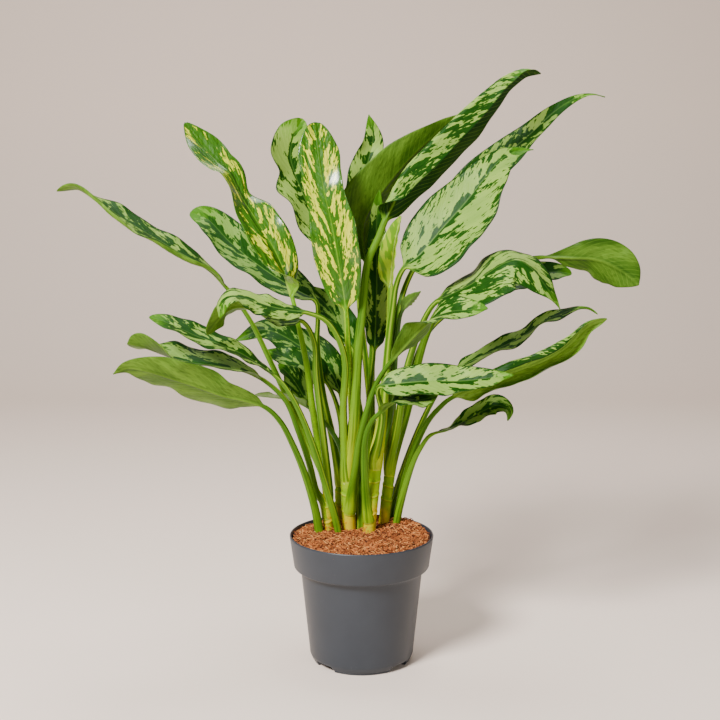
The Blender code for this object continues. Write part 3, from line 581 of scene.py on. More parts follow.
class LeafFinish(Finish):
    """A leaf's material: its sockets for the place on the leaf, and the parts that all leaves share."""

    def __init__(self, name, roughness, specular=0.4):
        super().__init__(name, roughness, specular)
        self.length, self.across, seed = self.attribute("place")
        self.face, self.opened, self.column = self.attribute("which")
        self.up, self.share, self.at = self.attribute("run")
        # per-leaf lightness of the silver and of the underside: partly the leaf's own tone, partly painted
        # light and shade for how lit the leaf lies
        self.light, self.dark, self.under = self.attribute("tint")
        self.ripe = self.number("ripe")
        self.away = abs(self.across)
        self.edge = abs(self.column)
        self.side = seed + self.across.above(0.0) * 9.0
        self.small = self.blotches(5.5, 2.6)
        self.specks = self.blotches(2.0, 1.0)
        self.clouds = self.blotches(38.0, 30.0)

    def vein_run(self, lean=VEIN_LEAN):
        """Distance along the rib from the blade's base to where a lateral vein left it."""
        return self.length - self.away * lean - self.away * self.away * VEIN_CURVE

    def blotches(self, along_rib, from_rib, lean=VEIN_LEAN):
        """Noise of about that size in millimetres, drawn out along the lateral veins."""
        place = self.vector(self.vein_run(lean) / along_rib, self.away / from_rib, self.side)
        return self.noise(place, 1.0, 1.6)

    def dark_share(self, size, lean, level, cluster):
        """Deep green where this passes 0: in blotches, along the margin and beside the rib."""
        along = self.noise(self.vector(self.length / 14.0, 0.0, self.side))
        rib = (self.away + (self.small - 0.5) * 12.0).bell(3.6) * self.step(along, 0.36, 0.5)
        margin = self.step(self.edge + (self.small - 0.5) * 0.9, 0.66, 1.0)
        amount = self.blotches(size, size * 0.8, lean) + self.small * 0.5 + self.specks * 0.2 - 0.85
        amount = amount + (self.clouds - 0.5) * cluster
        return amount + rib * 0.36 + margin * 0.18 + (self.dark - 0.5) * 0.28 - level

    def veins(self):
        """1 on a lateral vein and 0 between two."""
        wave = (self.vein_run() * (2 * math.pi / VEIN_SPACING)).math("SINE")
        return self.step(wave, 0.8, 1.0)

    def ribbing(self):
        """Uneven rise and fall of the blade in strips along its lateral veins."""
        return self.blotches(6.0, 42.0)

    def petiole(self, foot, low, high, line):
        """Petiole whose channel is darkened with painted shade, with painted highlights along its two sides,
        and yellow from its foot where ripe.
        """
        streak = self.noise(self.vector(self.at * 0.012, self.column * 3.0, self.side + self.face), 1.0, 3.0)
        base = self.mix(self.step(self.up + (streak - 0.5) * 0.5, 0.1, 0.8), low, high)
        kind = self.noise(self.vector(self.side.math("FLOOR") * 1.3, 0.5, 0.5))
        base = self.mix(self.step(kind, 0.4, 0.6) * 0.45, base, line)
        foot = self.mix(self.ripe, foot, srgb(190, 190, 0))
        base = self.mix(self.step(self.at + (streak - 0.5) * 50.0, self.ripe * 190.0 + 34.0, 4.0), base, foot)
        base = self.mix(self.step(streak, 0.5, 0.62) * 0.55, base, line)
        # painted highlight: pale bands along the two shoulders of the upper side, where the key light would
        # catch the petiole
        pale = self.face * (self.edge - 0.5).bell(0.13)
        base = self.mix(pale * 0.55, base, srgb(180, 206, 50))
        # painted shade: the channel along the petiole's top is darkened towards the line colour
        base = self.mix(self.face * self.column.bell(0.26) * 0.6, base, line)
        return self.mix((self.at - 1.2).bell(1.3) * 0.5, base, srgb(196, 196, 70))

    def underside(self, deep, light, vein):
        # painted light and shade: the underside's per-leaf lightness brightens or darkens it for how much
        # light that leaf gets
        body = self.mix(self.step(self.clouds, 0.3, 0.7) * 0.5 + self.under * 0.5, deep, light)
        body = self.mix(self.step(self.small, 0.5, 0.7) * 0.3, body, deep)
        body = self.mix((self.away - 2.6).bell(1.0) * 0.3, body, deep)
        # painted shade: a negative underside lightness darkens the underside towards near-black green
        body = self.mix(self.step(self.under, 0.0, -1.0), body, srgb(10, 44, 0))
        return self.mix(self.veins() * 0.2, body, vein)

    def assemble(self, upper, lower, petiole, rib, keel):
        """Puts together the faces, the midrib and the petiole."""
        upper = self.mix(self.away.bell(0.7) * (0.8 - self.share * 0.7), upper, rib)
        lower = self.mix(self.away.bell(1.3) * (0.65 - self.share * 0.6), lower, keel)
        blade = self.mix(self.face.above(0.5), lower, upper)
        self.feed("Base Color", self.mix(self.step(self.opened, 0.1, 0.9), petiole, blade))


def silver_finish():
    leaf = LeafFinish("silver_leaf", 0.4, 0.1)
    dark = leaf.dark_share(14.0, VEIN_LEAN, 0.05, 0.4)
    deep_share = leaf.step(dark, 0.0, 0.012)
    # the silver's tone mixes random clouds with the per-leaf lightness, which is partly painted shade on
    # leaves that lie in shade
    tone = leaf.step(leaf.clouds * 0.6 + leaf.light * 0.4, 0.28, 0.72)
    pale = leaf.mix(tone, srgb(96, 132, 52), srgb(146, 178, 74))
    pale = leaf.mix(leaf.specks * 0.8, pale, srgb(128, 162, 70))
    pale = leaf.mix(leaf.veins() * 0.2, pale, srgb(88, 130, 44))
    deep = leaf.mix(leaf.small, srgb(8, 44, 4), srgb(28, 78, 6))
    upper = leaf.mix(leaf.step(dark, -0.035, -0.005) * 0.75, pale, srgb(62, 108, 26))
    upper = leaf.mix(deep_share, upper, deep)
    line = leaf.step(leaf.edge, 0.93, 0.985)
    upper = leaf.mix(line * 0.85, upper, srgb(14, 50, 10))
    tip = leaf.step(leaf.share + (leaf.small - 0.5) * 0.2, 0.84, 0.96)
    upper = leaf.mix(tip * 0.65, upper, srgb(78, 134, 6))
    lower = leaf.underside(srgb(24, 62, 2), srgb(108, 150, 42), srgb(118, 158, 52))
    lower = leaf.mix(deep_share * 0.2, lower, srgb(20, 50, 4))
    petiole = leaf.petiole(srgb(136, 168, 8), srgb(106, 148, 16), srgb(88, 130, 24), srgb(28, 76, 4))
    leaf.assemble(upper, lower, petiole, srgb(104, 146, 58), srgb(112, 152, 44))
    leaf.feed("Roughness", leaf.small * 0.16 + 0.36)
    leaf.bump(leaf.small * 0.8 + leaf.clouds * 2.5 + leaf.ribbing(), 0.6, 0.6)
    return leaf


def young_finish():
    leaf = LeafFinish("young_leaf", 0.2, 0.1)
    dark = leaf.dark_share(15.0, 2.2, 0.0, 0.2)
    pale = leaf.mix(leaf.clouds, srgb(176, 192, 8), srgb(214, 214, 50))
    deep = leaf.mix(leaf.small, srgb(26, 76, 0), srgb(62, 112, 0))
    upper = leaf.mix(leaf.step(dark, -0.03, -0.005) * 0.6, pale, srgb(128, 162, 8))
    upper = leaf.mix(leaf.step(dark, 0.0, 0.012), upper, deep)
    lower = leaf.underside(srgb(84, 138, 12), srgb(140, 182, 34), srgb(152, 186, 50))
    petiole = leaf.petiole(srgb(168, 184, 0), srgb(136, 178, 4), srgb(118, 166, 10), srgb(72, 130, 0))
    leaf.assemble(upper, lower, petiole, srgb(118, 162, 30), srgb(156, 190, 60))
    leaf.feed("Roughness", leaf.small * 0.16 + 0.34)
    folds = leaf.noise(leaf.vector(leaf.length / 90.0, leaf.across / 6.0, leaf.side), 1.0, 1.0)
    leaf.bump(leaf.small * 1.2 + leaf.clouds * 5.0 + leaf.ribbing() * 2.0 + folds * 8.0, 0.9, 0.9)
    leaf.feed("Coat Weight", leaf.opened * 0.8)
    leaf.feed("Coat Roughness", 0.17)
    return leaf


def rolled_finish():
    leaf = LeafFinish("rolled_leaf", 0.32)
    amount = leaf.step(leaf.blotches(9.0, 7.0), 0.45, 0.55)
    body = leaf.mix(amount, srgb(162, 192, 26), srgb(104, 154, 14))
    petiole = leaf.petiole(srgb(186, 190, 10), srgb(146, 182, 20), srgb(142, 180, 30), srgb(90, 146, 10))
    leaf.assemble(body, body, petiole, srgb(200, 210, 110), srgb(172, 196, 70))
    leaf.bump(leaf.small, 0.3, 0.3)
    return leaf


def plain_finish():
    leaf = LeafFinish("plain_leaf", 0.42)
    body = leaf.underside(srgb(52, 98, 18), srgb(104, 148, 38), srgb(122, 160, 52))
    petiole = leaf.petiole(srgb(122, 160, 8), srgb(92, 142, 14), srgb(76, 122, 22), srgb(28, 80, 4))
    leaf.assemble(body, body, petiole, srgb(128, 164, 62), srgb(110, 152, 46))
    leaf.bump(leaf.small, 0.3, 0.3)
    return leaf


LEAF_LOOKS = {}
LEAF_SLOTS = {"silver": "leaf_silver", "young": "leaf_young", "rolled": "leaf_young", "plain": "leaf_plain"}


# Canes

CANES = {
    "cane_left": dict(axis=[(-40, 24, 108), (-40, 24, 150), (-40, 24, 186)], radius=6.2, rings=(161, 180),
                      ripe=0.3),
    "cane_middle": dict(axis=[(-15, 24, 108), (-15, 24, 150), (-17, 22, 212)], radius=8.2,
                        rings=(174, 194), ripe=0.25),
    "cane_tall": dict(axis=[(9, 14, 108), (9, 14, 150), (12, 14, 185), (17, 18, 228)], radius=7.6,
                      rings=(174, 196, 213), ripe=0.6),
    "cane_right": dict(axis=[(27, 42, 108), (27, 42, 150), (30, 41, 180), (34, 40, 214)], radius=6.6,
                       rings=(183, 200), ripe=0.2),
    "cane_back_left": dict(axis=[(-27, 62, 122), (-27, 62, 150), (-26, 64, 196)], radius=6.5,
                           rings=(170, 186), ripe=0.2),
    "cane_back": dict(axis=[(11, 66, 122), (11, 66, 150), (13, 66, 196)], radius=6.5, rings=(170, 186),
                      ripe=0.2),
}
CANE_SIDES = 48
CANE_STEP = 0.8
RING_RISE = 0.45
RING_DIP = 0.4  # that the cane is thinner just above a ring
CANE_TILT = 2.0  # that its rings lean to one side
CANE_DOME = 3.0  # height over which its top is rounded
NO_RING = 40.0  # distance to a ring that counts as none


def cane_finish():
    cane = Finish("cane_skin", 0.4, 0.06)
    place = cane.object_place()
    streaks = cane.noise(place, 190.0, 3.0, 0.6)
    clouds = cane.noise(place, 55.0, 3.0, 0.6)
    z = cane.parts(place)[2] / MM
    low = cane.step(z + (clouds - 0.5) * 40.0 - cane.number("ripe") * 34.0, 176.0, 150.0)
    skin = cane.mix(low, srgb(124, 166, 0), srgb(210, 184, 0))
    skin = cane.mix(cane.step(clouds, 0.45, 0.7) * 0.5, skin, srgb(160, 180, 0))
    skin = cane.mix(cane.step(streaks, 0.52, 0.72) * 0.3, skin, srgb(90, 134, 8))
    away = cane.number("ring") + (streaks - 0.5) * 1.4
    skin = cane.mix((away + 1.3).bell(0.9) * 0.5, skin, srgb(136, 122, 20))
    scar = away.bell(0.55)
    skin = cane.mix(scar * 0.45, skin, srgb(214, 206, 70))
    paper = cane.step(clouds * 0.6 + streaks * 0.4, 0.66, 0.69)
    skin = cane.mix(paper * 0.75, skin, srgb(226, 212, 140))
    rust = cane.step(cane.noise(place, 90.0, 4.0, 0.7) + low * 0.1, 0.66, 0.72)
    cane.feed("Base Color", cane.mix(rust * 0.7, skin, srgb(186, 84, 10)))
    cane.feed("Roughness", scar * 0.2 + paper * 0.2 + 0.38)
    cane.bump(streaks, 0.3, 0.3)
    return cane


def add_cane(name, spec, finish, seed):
    """Short ringed stem: it narrows above each ring, where a fallen leaf has left its scar."""
    axis = np.array(spec["axis"], float)
    top = axis[-1][2]
    heights = np.arange(axis[0][2], top + CANE_STEP / 2, CANE_STEP)
    radius = np.full(len(heights), spec["radius"])
    nearest = np.full(len(heights), NO_RING)
    for ring in spec["rings"]:
        away = heights - ring
        radius += RING_RISE * bell(away, 1.5) - RING_DIP * bell(away - 3.2, 1.8)
        nearest = np.where(np.abs(away) < np.abs(nearest), away, nearest)
    dome = np.clip((top - heights) / CANE_DOME, 0, 1)
    radius *= np.sqrt(np.clip(dome * (2 - dome), 0.02, 1))
    angle = np.linspace(0, 2 * math.pi, CANE_SIDES, endpoint=False)
    tilt = random.Random(seed).uniform(0, 2 * math.pi)
    rings = []
    for z, r in zip(heights, radius):
        x, y = centre_at(axis, z)
        r = r * (1 + 0.02 * np.sin(2 * angle + z / 9) + 0.012 * np.sin(5 * angle + z / 3))
        lean = CANE_TILT * np.sin(angle - tilt) * min(1.0, (z - heights[0]) / 20) * (z < top - 4)
        rings.append(np.stack([x + r * np.cos(angle), y + r * np.sin(angle), z + lean], 1))
    points, faces = closed_skin(rings, rings[0].mean(axis=0), rings[-1].mean(axis=0))
    cane = smooth_object(name + "_stem", points, faces, finish)
    add_attribute(cane, "ring", [NO_RING, *np.repeat(nearest, CANE_SIDES), NO_RING])
    add_attribute(cane, "ripe", np.full(len(points), spec["ripe"]))
    finish_piece(cane, "cane_skin", name)


def leaves_of_left_cane():
    leaf("leaf_01", 46, cane="cane_left", tint=(0.55, 0.6, 0.8),
         stem=(3.6, 2.5), shape=(0.5, 0.6), fold=(5, 5),
         hinge=((0.7, 0.86), (0, 1)), curl=((0, 1.7, 1.7, 0.4, 1.5, 1.7, 1), 0.2),
         stalk=[(-39, 34, 187), (-78, 50, 279), (-112, 56, 354), (-135, 50, 403)],
         rib=[(-159, 44, 438), (-177, 42, 459), (-218, 36, 484), (-270, 30, 516), (-308, 28, 542),
              (-331, 26, 556), (-353, 26, 553)],
         faces=[(0.4, 0.1, 0.9), (0.4, -0.35, 0.9), (0.4, -0.3, 0.9), (0.3, 0.4, 0.8)])
    leaf("leaf_02", 54, cane="cane_left", look="young", tint=(0.6, 0.75, 0.5), ripe=0.15,
         stem=(3.8, 2.6), shape=(0.5, 0.55),
         trim=((1, 1, 1.05, 0.95, 0.9, 1.2, 1.25, 0.8), (1, 1, 1.05, 0.95, 0.6, 0.9, 1.2, 0.8)),
         fold=((70, 10, 10, 10, 10, 10), 10),
         stalk=[(-44, 26, 187), (-47, 25, 229), (-56, 22, 284), (-65, 18, 354), (-73, 17, 394)],
         rib=[(-80, 18, 427), (-98, 26, 478), (-123, 38, 519), (-141, 46, 546), (-156, 54, 574),
              (-171, 58, 587), (-189, 64, 607), (-210, 70, 634)],
         faces=[(0.6, 0.3, 0.5), (0.3, -0.8, 0.4), (0.3, -0.8, 0.4), (0.8, -0.4, 0.4), (0.5, -0.7, 0.4),
                (0.3, -0.8, 0.4)])
    leaf("leaf_03", 42, cane="cane_left", tint=(0.8, 0.35, 0.5),
         stem=(4, 2.6), shape=(0.6, 0.6), fold=(5, 5),
         stalk=[(-37, 16, 187), (-44, 12, 256), (-53, 2, 340), (-55, -2, 381)],
         rib=[(-67, -8, 404), (-84, -14, 407), (-112, -26, 415), (-135, -38, 424), (-148, -44, 421),
              (-159, -52, 410), (-171, -58, 395)],
         faces=[(0, -0.6, 0.8), (0, -0.5, 0.8), (-0.1, 0.6, 0.8), (-0.6, 0.6, 0.4)])
    leaf("leaf_04", 50, cane="cane_left", tint=(0.6, 0.5, 0.9),
         trim=((1, 1, 1, 1.1, 1.2), (1, 1, 1, 1.1, 1.2)),
         stem=(3.8, 2.5), shape=(0.6, 0.4), fold=(15, 15),
         stalk=[(-52, 26, 168), (-53, 24, 195), (-62, 8, 237), (-74, -2, 277), (-88, -12, 314)],
         rib=[(-112, -18, 338), (-133, -26, 350), (-164, -34, 357), (-191, -38, 361), (-217, -42, 369),
              (-239, -46, 378), (-261, -48, 384)],
         faces=[(0.2, -0.1, 1), (0.2, -0.3, 0.9), (0.2, -0.2, 0.9), (0.1, 0.7, 0.7)])


def leaves_of_left_soil():
    leaf("leaf_05", 60, tint=(0.6, 0.5, 0.7), stem=(3.8, 2.7), shape=(1.0, 1.0), fold=(4, 5),
         trim=((1, 0.9, 1, 1.05, 1), (1, 1.15, 1.22, 1.1, 0.78, 1.16, 1, 0.8)),
         stalk=[(-51, 17, 122), (-51, 17, 148), (-55, 12, 177), (-67, -4, 226), (-79, -16, 261),
                (-93, -28, 292)],
         rib=[(-108, -36, 309), (-130, -44, 319), (-156, -50, 326), (-180, -56, 336), (-209, -64, 347),
              (-237, -72, 357), (-256, -75, 360), (-271, -78, 354)],
         faces=[(0.2, 0.8, 0.6)])
    leaf("leaf_06", 40, stem=(3.9, 2.6), shape=(1.0, 0.6), fold=(5, 5),
         stalk=[(-27, 11, 122), (-27, 12, 147), (-42, 4, 208), (-64, -14, 283), (-82, -22, 323)],
         rib=[(-96, -26, 342), (-130, -34, 368), (-156, -40, 381), (-186, -46, 393), (-212, -50, 406),
              (-235, -52, 414)],
         faces=[(0.3, -0.3, 0.9), (0.3, -0.4, 0.9), (0.2, -0.4, 0.9)])
    leaf("leaf_07", 40, tint=(0.3, 0.6, 0.3), stem=(3.2, 2.3),
         stalk=[(-40, 43, 122), (-40, 43, 150), (-43, 48, 217), (-50, 50, 260), (-59, 50, 285)],
         rib=[(-65, 51, 298), (-84, 54, 330), (-101, 58, 346)],
         faces=[(0.4, -0.6, 0.7)])
    leaf("leaf_08", 36, look="plain", stem=(3.3, 2.3),
         stalk=[(-14, 46, 122), (-14, 46, 150), (-19, 52, 191), (-25, 54, 241), (-37, 50, 266),
                (-49, 44, 282)],
         rib=[(-63, 38, 296), (-79, 32, 306), (-118, 22, 313), (-136, 18, 315)],
         faces=[(0.2, 0.3, 0.95)])


def leaves_of_middle_cane():
    leaf("leaf_09", 44, cane="cane_middle", tint=(0.8, 0.25, 0.4),
         stem=(4.2, 2.7), shape=(0.6, 0.5), fold=(5, 5), curl=(-0.3, -0.3),
         stalk=[(-21, 18, 213), (-21, 6, 303), (-19, -2, 357), (-27, -10, 386), (-41, -18, 407)],
         rib=[(-61, -26, 416), (-96, -46, 424), (-130, -64, 436), (-143, -72, 437), (-150, -78, 431),
              (-152, -84, 416)],
         faces=[(0, -0.6, 0.8), (0, -0.6, 0.8), (-0.2, -0.5, 0.8), (-0.9, -0.4, 0.3)])
    leaf("leaf_10", 60, cane="cane_middle", look="young", tint=(0.6, 0.5, 0.5), ripe=0.7,
         stem=(4, 2.8), shape=(0.45, 0.45),
         trim=((1, 1, 1, 0.9, 0.76, 0.84, 1.05, 1), (1, 1, 1, 0.92, 0.78, 0.84, 1.05, 1)),
         fold=(-12, 4),
         stalk=[(-13, 28, 214), (-10, 24, 263), (-14, 17, 339), (-16, 8, 375)],
         rib=[(-18, 0, 415), (-27, -2, 474), (-34, 0, 514), (-43, 5, 554), (-54, 24, 631)],
         faces=[(-0.05, -1, 0.1), (-0.1, -1, 0.2), (0.3, -1, 0.3)])
    leaf("leaf_11", 72, cane="cane_middle", finer=2, tint=(0.6, 0.55, -0.6), ripe=0.4,
         stem=(5, 3.8), shape=(0.58, 0.85), skew=0.15, fold=(0, 0),
         hinge=((0, 1), (0.2, 0.5)), curl=(0.3, (0, -2.9, -2.9, -2.9, -2.9, -2.2, -1)),
         stalk=[(-11, 17, 213), (-9, 10, 274), (-5, 10, 356), (2, 12, 427), (7, 12, 471), (20, 12, 501)],
         rib=[(26, 12, 517), (35, 12, 536), (44, 13, 554), (58, 14, 573), (78, 16, 593), (101, 18, 617),
              (124, 20, 640), (145, 20, 660), (165, 20, 678), (185, 21, 687), (204, 22, 685)],
         faces=[(-0.2, 0.95, 0.1), (-0.25, 0.95, 0.2), (-0.3, 0.9, 0.2), (-0.2, 0.8, 0.6)])
    leaf("leaf_12", 44, cane="cane_middle", tint=(0.6, 0.5, 0.5), stem=(3.8, 2.6), shape=(0.8, 0.7),
         stalk=[(-8, 11, 176), (-7, 0, 231), (-2, -8, 268), (16, -20, 332)],
         rib=[(32, -27, 359), (58, -41, 391), (80, -56, 414), (96, -65, 421), (116, -74, 424),
              (136, -80, 426)],
         faces=[(-0.5, 0.7, 0.5), (-0.4, 0.7, 0.6), (0, -0.6, 0.8), (0, -0.7, 0.7)])


def leaves_of_tall_cane():
    leaf("leaf_13", 92, cane="cane_tall", tint=(0.6, 0.34, 0.5), ripe=0.4,
         stem=(4.6, 3), shape=(0.55, 1.2), skew=0.2,
         stalk=[(22, 14, 229), (24, 18, 279), (32, 24, 379), (37, 22, 420), (40, 16, 443)],
         rib=[(48, 4, 464), (68, 4, 482), (91, 5, 509), (118, 8, 539), (143, 12, 570), (159, 15, 588),
              (175, 18, 597), (197, 20, 600)],
         faces=[(-0.6, -0.8, 0.2), (-0.4, -0.8, 0.4), (-0.4, -0.8, 0.4)])
    leaf("leaf_14", 34, cane="cane_tall", look="rolled", ripe=0.6,
         stem=(4, 3.6), shape=(0.5, 0.7), fold=(30, 50), wave=(0, 3, 0),
         stalk=[(13, 24, 229), (23, 32, 282), (33, 38, 390)],
         rib=[(34, 38, 437), (38, 38, 487), (46, 42, 524)],
         faces=[(-0.5, -1, 0.1)])
    leaf("leaf_15", 18, cane="cane_tall", look="plain", stem=(3.2, 2.4), wave=(0, 3, 0),
         stalk=[(22, 24, 229), (33, 32, 282), (43, 36, 390)],
         rib=[(47, 34, 411), (57, 28, 426), (69, 22, 437)],
         faces=[(-0.5, 0.8, 0.3)])
    leaf("leaf_16", 42, cane="cane_tall", tint=(0.6, 0.25, 0.5), stem=(4, 2.6), shape=(0.5, 0.8),
         stalk=[(12, 12, 232), (20, 2, 264), (24, -14, 297)],
         rib=[(19, -36, 332), (34, -42, 337), (76, -50, 342), (111, -56, 343), (140, -62, 347),
              (167, -66, 351)],
         faces=[(0, -0.75, 0.6)])
    leaf("leaf_17", 40, cane="cane_tall", tint=(0.5, 0.5, 0.5),
         stem=(3.6, 2.5), shape=(0.6, 0.6), fold=(15, 5),
         stalk=[(1, 4, 168), (4, -2, 217), (3, -10, 251), (6, -22, 278), (13, -32, 295)],
         rib=[(19, -36, 302), (43, -44, 321), (63, -48, 320), (84, -52, 325)],
         faces=[(0, 0.4, 0.9), (0, -0.3, 0.9), (0, -0.6, 0.8)])


def leaves_of_right_cane():
    leaf("leaf_18", 50, cane="cane_right", tint=(0.5, 0.6, 0.4), ripe=0.3, stem=(4, 2.8), shape=(0.6, 1.4),
         stalk=[(30, 46, 215), (36, 48, 279), (44, 48, 411), (60, 56, 457)],
         rib=[(75, 62, 476), (104, 66, 520), (132, 68, 558), (165, 70, 590), (200, 70, 620), (229, 67, 647),
              (253, 66, 662), (272, 65, 666), (287, 64, 663)],
         faces=[(-0.4, -0.85, 0.3)])
    leaf("leaf_19", 84, cane="cane_right", tint=(0.7, 0.5, 0.5), stem=(4.4, 2.9), shape=(0.55, 1.05),
         fold=((-20, -20, -20, 0), (0, -15, -30, 0)),
         stalk=[(33, 35, 215), (42, 24, 272), (54, 2, 354), (74, -20, 414)],
         rib=[(84, -24, 428), (121, -38, 449), (156, -50, 473), (171, -54, 477), (185, -57, 469),
              (206, -62, 442), (217, -65, 424)],
         faces=[(-0.2, -0.5, 0.8), (0, -0.5, 0.8), (0.1, -0.5, 0.8), (0.6, -0.6, 0.5)])
    leaf("leaf_20", 55, cane="cane_right", tint=(0.6, 0.5, 0.2), stem=(4, 2.6), shape=(1.5, 0.85),
         stalk=[(40, 44, 215), (54, 58, 283), (80, 70, 383), (104, 70, 423), (143, 66, 450), (184, 60, 469)],
         rib=[(213, 54, 475), (251, 42, 475), (273, 36, 474), (291, 30, 468), (309, 25, 457),
              (323, 20, 444)],
         faces=[(-0.1, 0.9, 0.4), (-0.1, 0.9, 0.4), (-0.2, 0.9, 0.4)])


def leaves_of_right_soil():
    leaf("leaf_21", 31, tint=(0.5, 0.25, 0.5), stem=(3.6, 2.5), shape=(0.4, 0.8),
         fold=(5, 5), wave=(3, 3, 0.2),
         stalk=[(34, 58, 122), (34, 58, 150), (55, 50, 230), (88, 38, 310)],
         rib=[(111, 34, 341), (138, 30, 358), (173, 26, 375), (195, 24, 388), (209, 21, 400),
              (227, 19, 408), (250, 17, 417), (264, 15, 417), (275, 14, 411)],
         faces=[(0, -0.35, 0.9)])
    leaf("leaf_22", 53, finer=2, tint=(0.6, 0.5, 1.4),
         stem=(3.7, 2.7), shape=(0.5, 0.75), fold=(0, 0),
         trim=(1, (1, 1, 1.15, 1.25, 1.25, 1.1, 1)),
         curl=((0, -2.6, -2.6, -2.6, -2, -1), (0, 0, -2, -2.5, -2.5, -2, -1)),
         hinge=((0.35, 0.8), (0.6, 0.85)),
         stalk=[(43, 48, 122), (43, 48, 150), (58, 32, 230), (78, 16, 283), (92, 8, 302)],
         rib=[(103, 2, 313), (137, -8, 330), (172, -15, 347), (209, -20, 362), (233, -24, 378),
              (255, -28, 401), (276, -31, 410)],
         faces=[(-0.2, 0.5, 0.8), (-0.3, 0.7, 0.6), (-0.3, 0.7, 0.6), (-0.3, 0.8, 0.5)])
    leaf("leaf_23", 30, tint=(0.1, 0.3, 0.5), stem=(3.6, 2.4), shape=(1.0, 0.6),
         stalk=[(42, 36, 122), (42, 36, 150), (60, 20, 229), (70, 15, 252)],
         rib=[(81, 14, 267), (106, 4, 279), (143, -10, 302), (158, -14, 308), (168, -18, 303),
              (168, -20, 291)],
         faces=[(-0.2, 0.5, 0.8), (0, -0.4, 0.8), (0, -0.6, 0.7), (0.8, -0.5, 0.2)])
    leaf("leaf_24", 36, tint=(0.4, 0.6, 0.4), stem=(3.3, 2.3), shape=(0.6, 0.5),
         stalk=[(27, 66, 122), (27, 66, 150), (38, 76, 210), (63, 88, 334), (85, 92, 384)],
         rib=[(134, 96, 421), (196, 102, 446), (241, 105, 455), (261, 106, 453)],
         faces=[(0, -0.7, 0.7)])
    leaf("leaf_25", 32, tint=(0.7, 0.45, 0.4), stem=(3.2, 2.4), shape=(0.4, 0.7),
         stalk=[(-2, 27, 122), (-2, 27, 150), (-2, 34, 208), (10, 46, 316)],
         rib=[(15, 52, 361), (18, 52, 436), (18, 49, 525), (21, 47, 554)],
         faces=[(0.2, -1, 0.1)])


def leaves_of_back_left_cane():
    leaf("leaf_26", 60, cane="cane_back_left", tint=(0.1, 0.6, 0.4),
         stem=(3.6, 2.6), shape=(0.5, 0.5), fold=(10, 10),
         stalk=[(-31, 60, 197), (-35, 64, 251), (-47, 66, 307), (-54, 67, 368), (-53, 67, 401)],
         rib=[(-55, 66, 421), (-77, 72, 434), (-121, 82, 461), (-161, 92, 492), (-190, 102, 520),
              (-211, 106, 528)],
         faces=[(0.3, -0.7, 0.6)])
    leaf("leaf_27", 54, cane="cane_back_left", tint=(0.1, 0.7, 0.3), stem=(3.6, 2.5),
         trim=((1, 1, 0.9, 0.75), (1, 1, 0.85, 0.7)),
         stalk=[(-22, 69, 197), (-22, 86, 246), (-23, 96, 276)],
         rib=[(-26, 106, 299), (-38, 112, 328), (-78, 124, 360), (-123, 130, 380), (-163, 134, 365)],
         faces=[(0.4, -0.8, 0.45)])
    leaf("leaf_28", 44, cane="cane_back_left", tint=(0.1, 0.7, 0.3), stem=(3.2, 2.3),
         stalk=[(-31, 69, 197), (-25, 76, 267)],
         rib=[(-42, 76, 319), (-63, 78, 336), (-117, 86, 360)],
         faces=[(0.4, -0.85, 0.45)])
    leaf("leaf_29", 46, cane="cane_back_left", tint=(0.1, 0.7, 0.3), stem=(3.4, 2.5),
         stalk=[(-22, 60, 197), (-14, 66, 263), (-8, 70, 312)],
         rib=[(-10, 76, 360), (-24, 85, 387), (-45, 94, 417), (-70, 99, 439)],
         faces=[(0.5, -0.85, 0.3)])


def leaves_of_back_cane():
    leaf("leaf_30", 56, cane="cane_back", tint=(1.3, 0.1, 0.3),
         trim=((1, 1, 1, 1.1, 0.95, 1.15, 0.82, 1.2, 1.15, 1), (1, 0.95, 1.1, 0.9, 1.1, 0.95, 1)),
         stem=(3.5, 2.6), shape=(0.6, 0.5), wave=(4, 3, 0),
         stalk=[(7, 70, 197), (6, 82, 235), (-7, 96, 308), (-19, 106, 382)],
         rib=[(-35, 108, 467), (-54, 114, 509), (-82, 120, 574), (-88, 120, 598), (-83, 119, 622),
              (-72, 118, 642)],
         faces=[(0.3, -0.8, 0.4)])
    leaf("leaf_31", 42, cane="cane_back", tint=(1.1, 0.3, 0.3),
         stem=(3.5, 2.6), shape=(0.7, 0.9), wave=(4, 3, 0),
         stalk=[(17, 71, 197), (16, 80, 235), (8, 90, 322), (-2, 96, 409)],
         rib=[(-7, 98, 488), (-4, 100, 537), (9, 102, 594), (14, 104, 618), (9, 106, 646)],
         faces=[(0.1, -0.8, 0.4)])
    leaf("leaf_32", 66, cane="cane_back", tint=(0.5, 0.5, 0.3),
         stem=(3.6, 2.7), shape=(0.5, 1.0), skew=0.2,
         stalk=[(12, 60, 197), (12, 62, 328), (13, 62, 379), (9, 62, 435)],
         rib=[(5, 62, 469), (1, 62, 495), (2, 62, 517), (14, 60, 539), (35, 58, 567), (57, 54, 592),
              (78, 48, 612), (97, 44, 629), (112, 40, 641)],
         faces=[(-0.4, 0.8, 0.4)])


# Soil


def soil_height(x, y):
    """Height of the coir: a low dome with a heap at the back right, and lumps."""
    dome = SOIL_DOME * (1 - (x * x + y * y) / RIM_RADIUS**2)
    away = ((x - HEAP[0]) ** 2 + (y - HEAP[1]) ** 2) / (2 * HEAP_SPREAD**2)
    lumps = 0.8 * np.sin(x / 5.1 + 1.3) * np.cos(y / 4.3) + 0.5 * np.sin(x / 2.9 - y / 3.7)
    fine = 0.35 * np.sin(x / 1.3 + 2 * np.sin(y / 2.1)) * np.cos(y / 1.1 + np.sin(x / 1.7))
    return SOIL_LEVEL + dome + HEAP_RISE * np.exp(-away) + lumps + fine


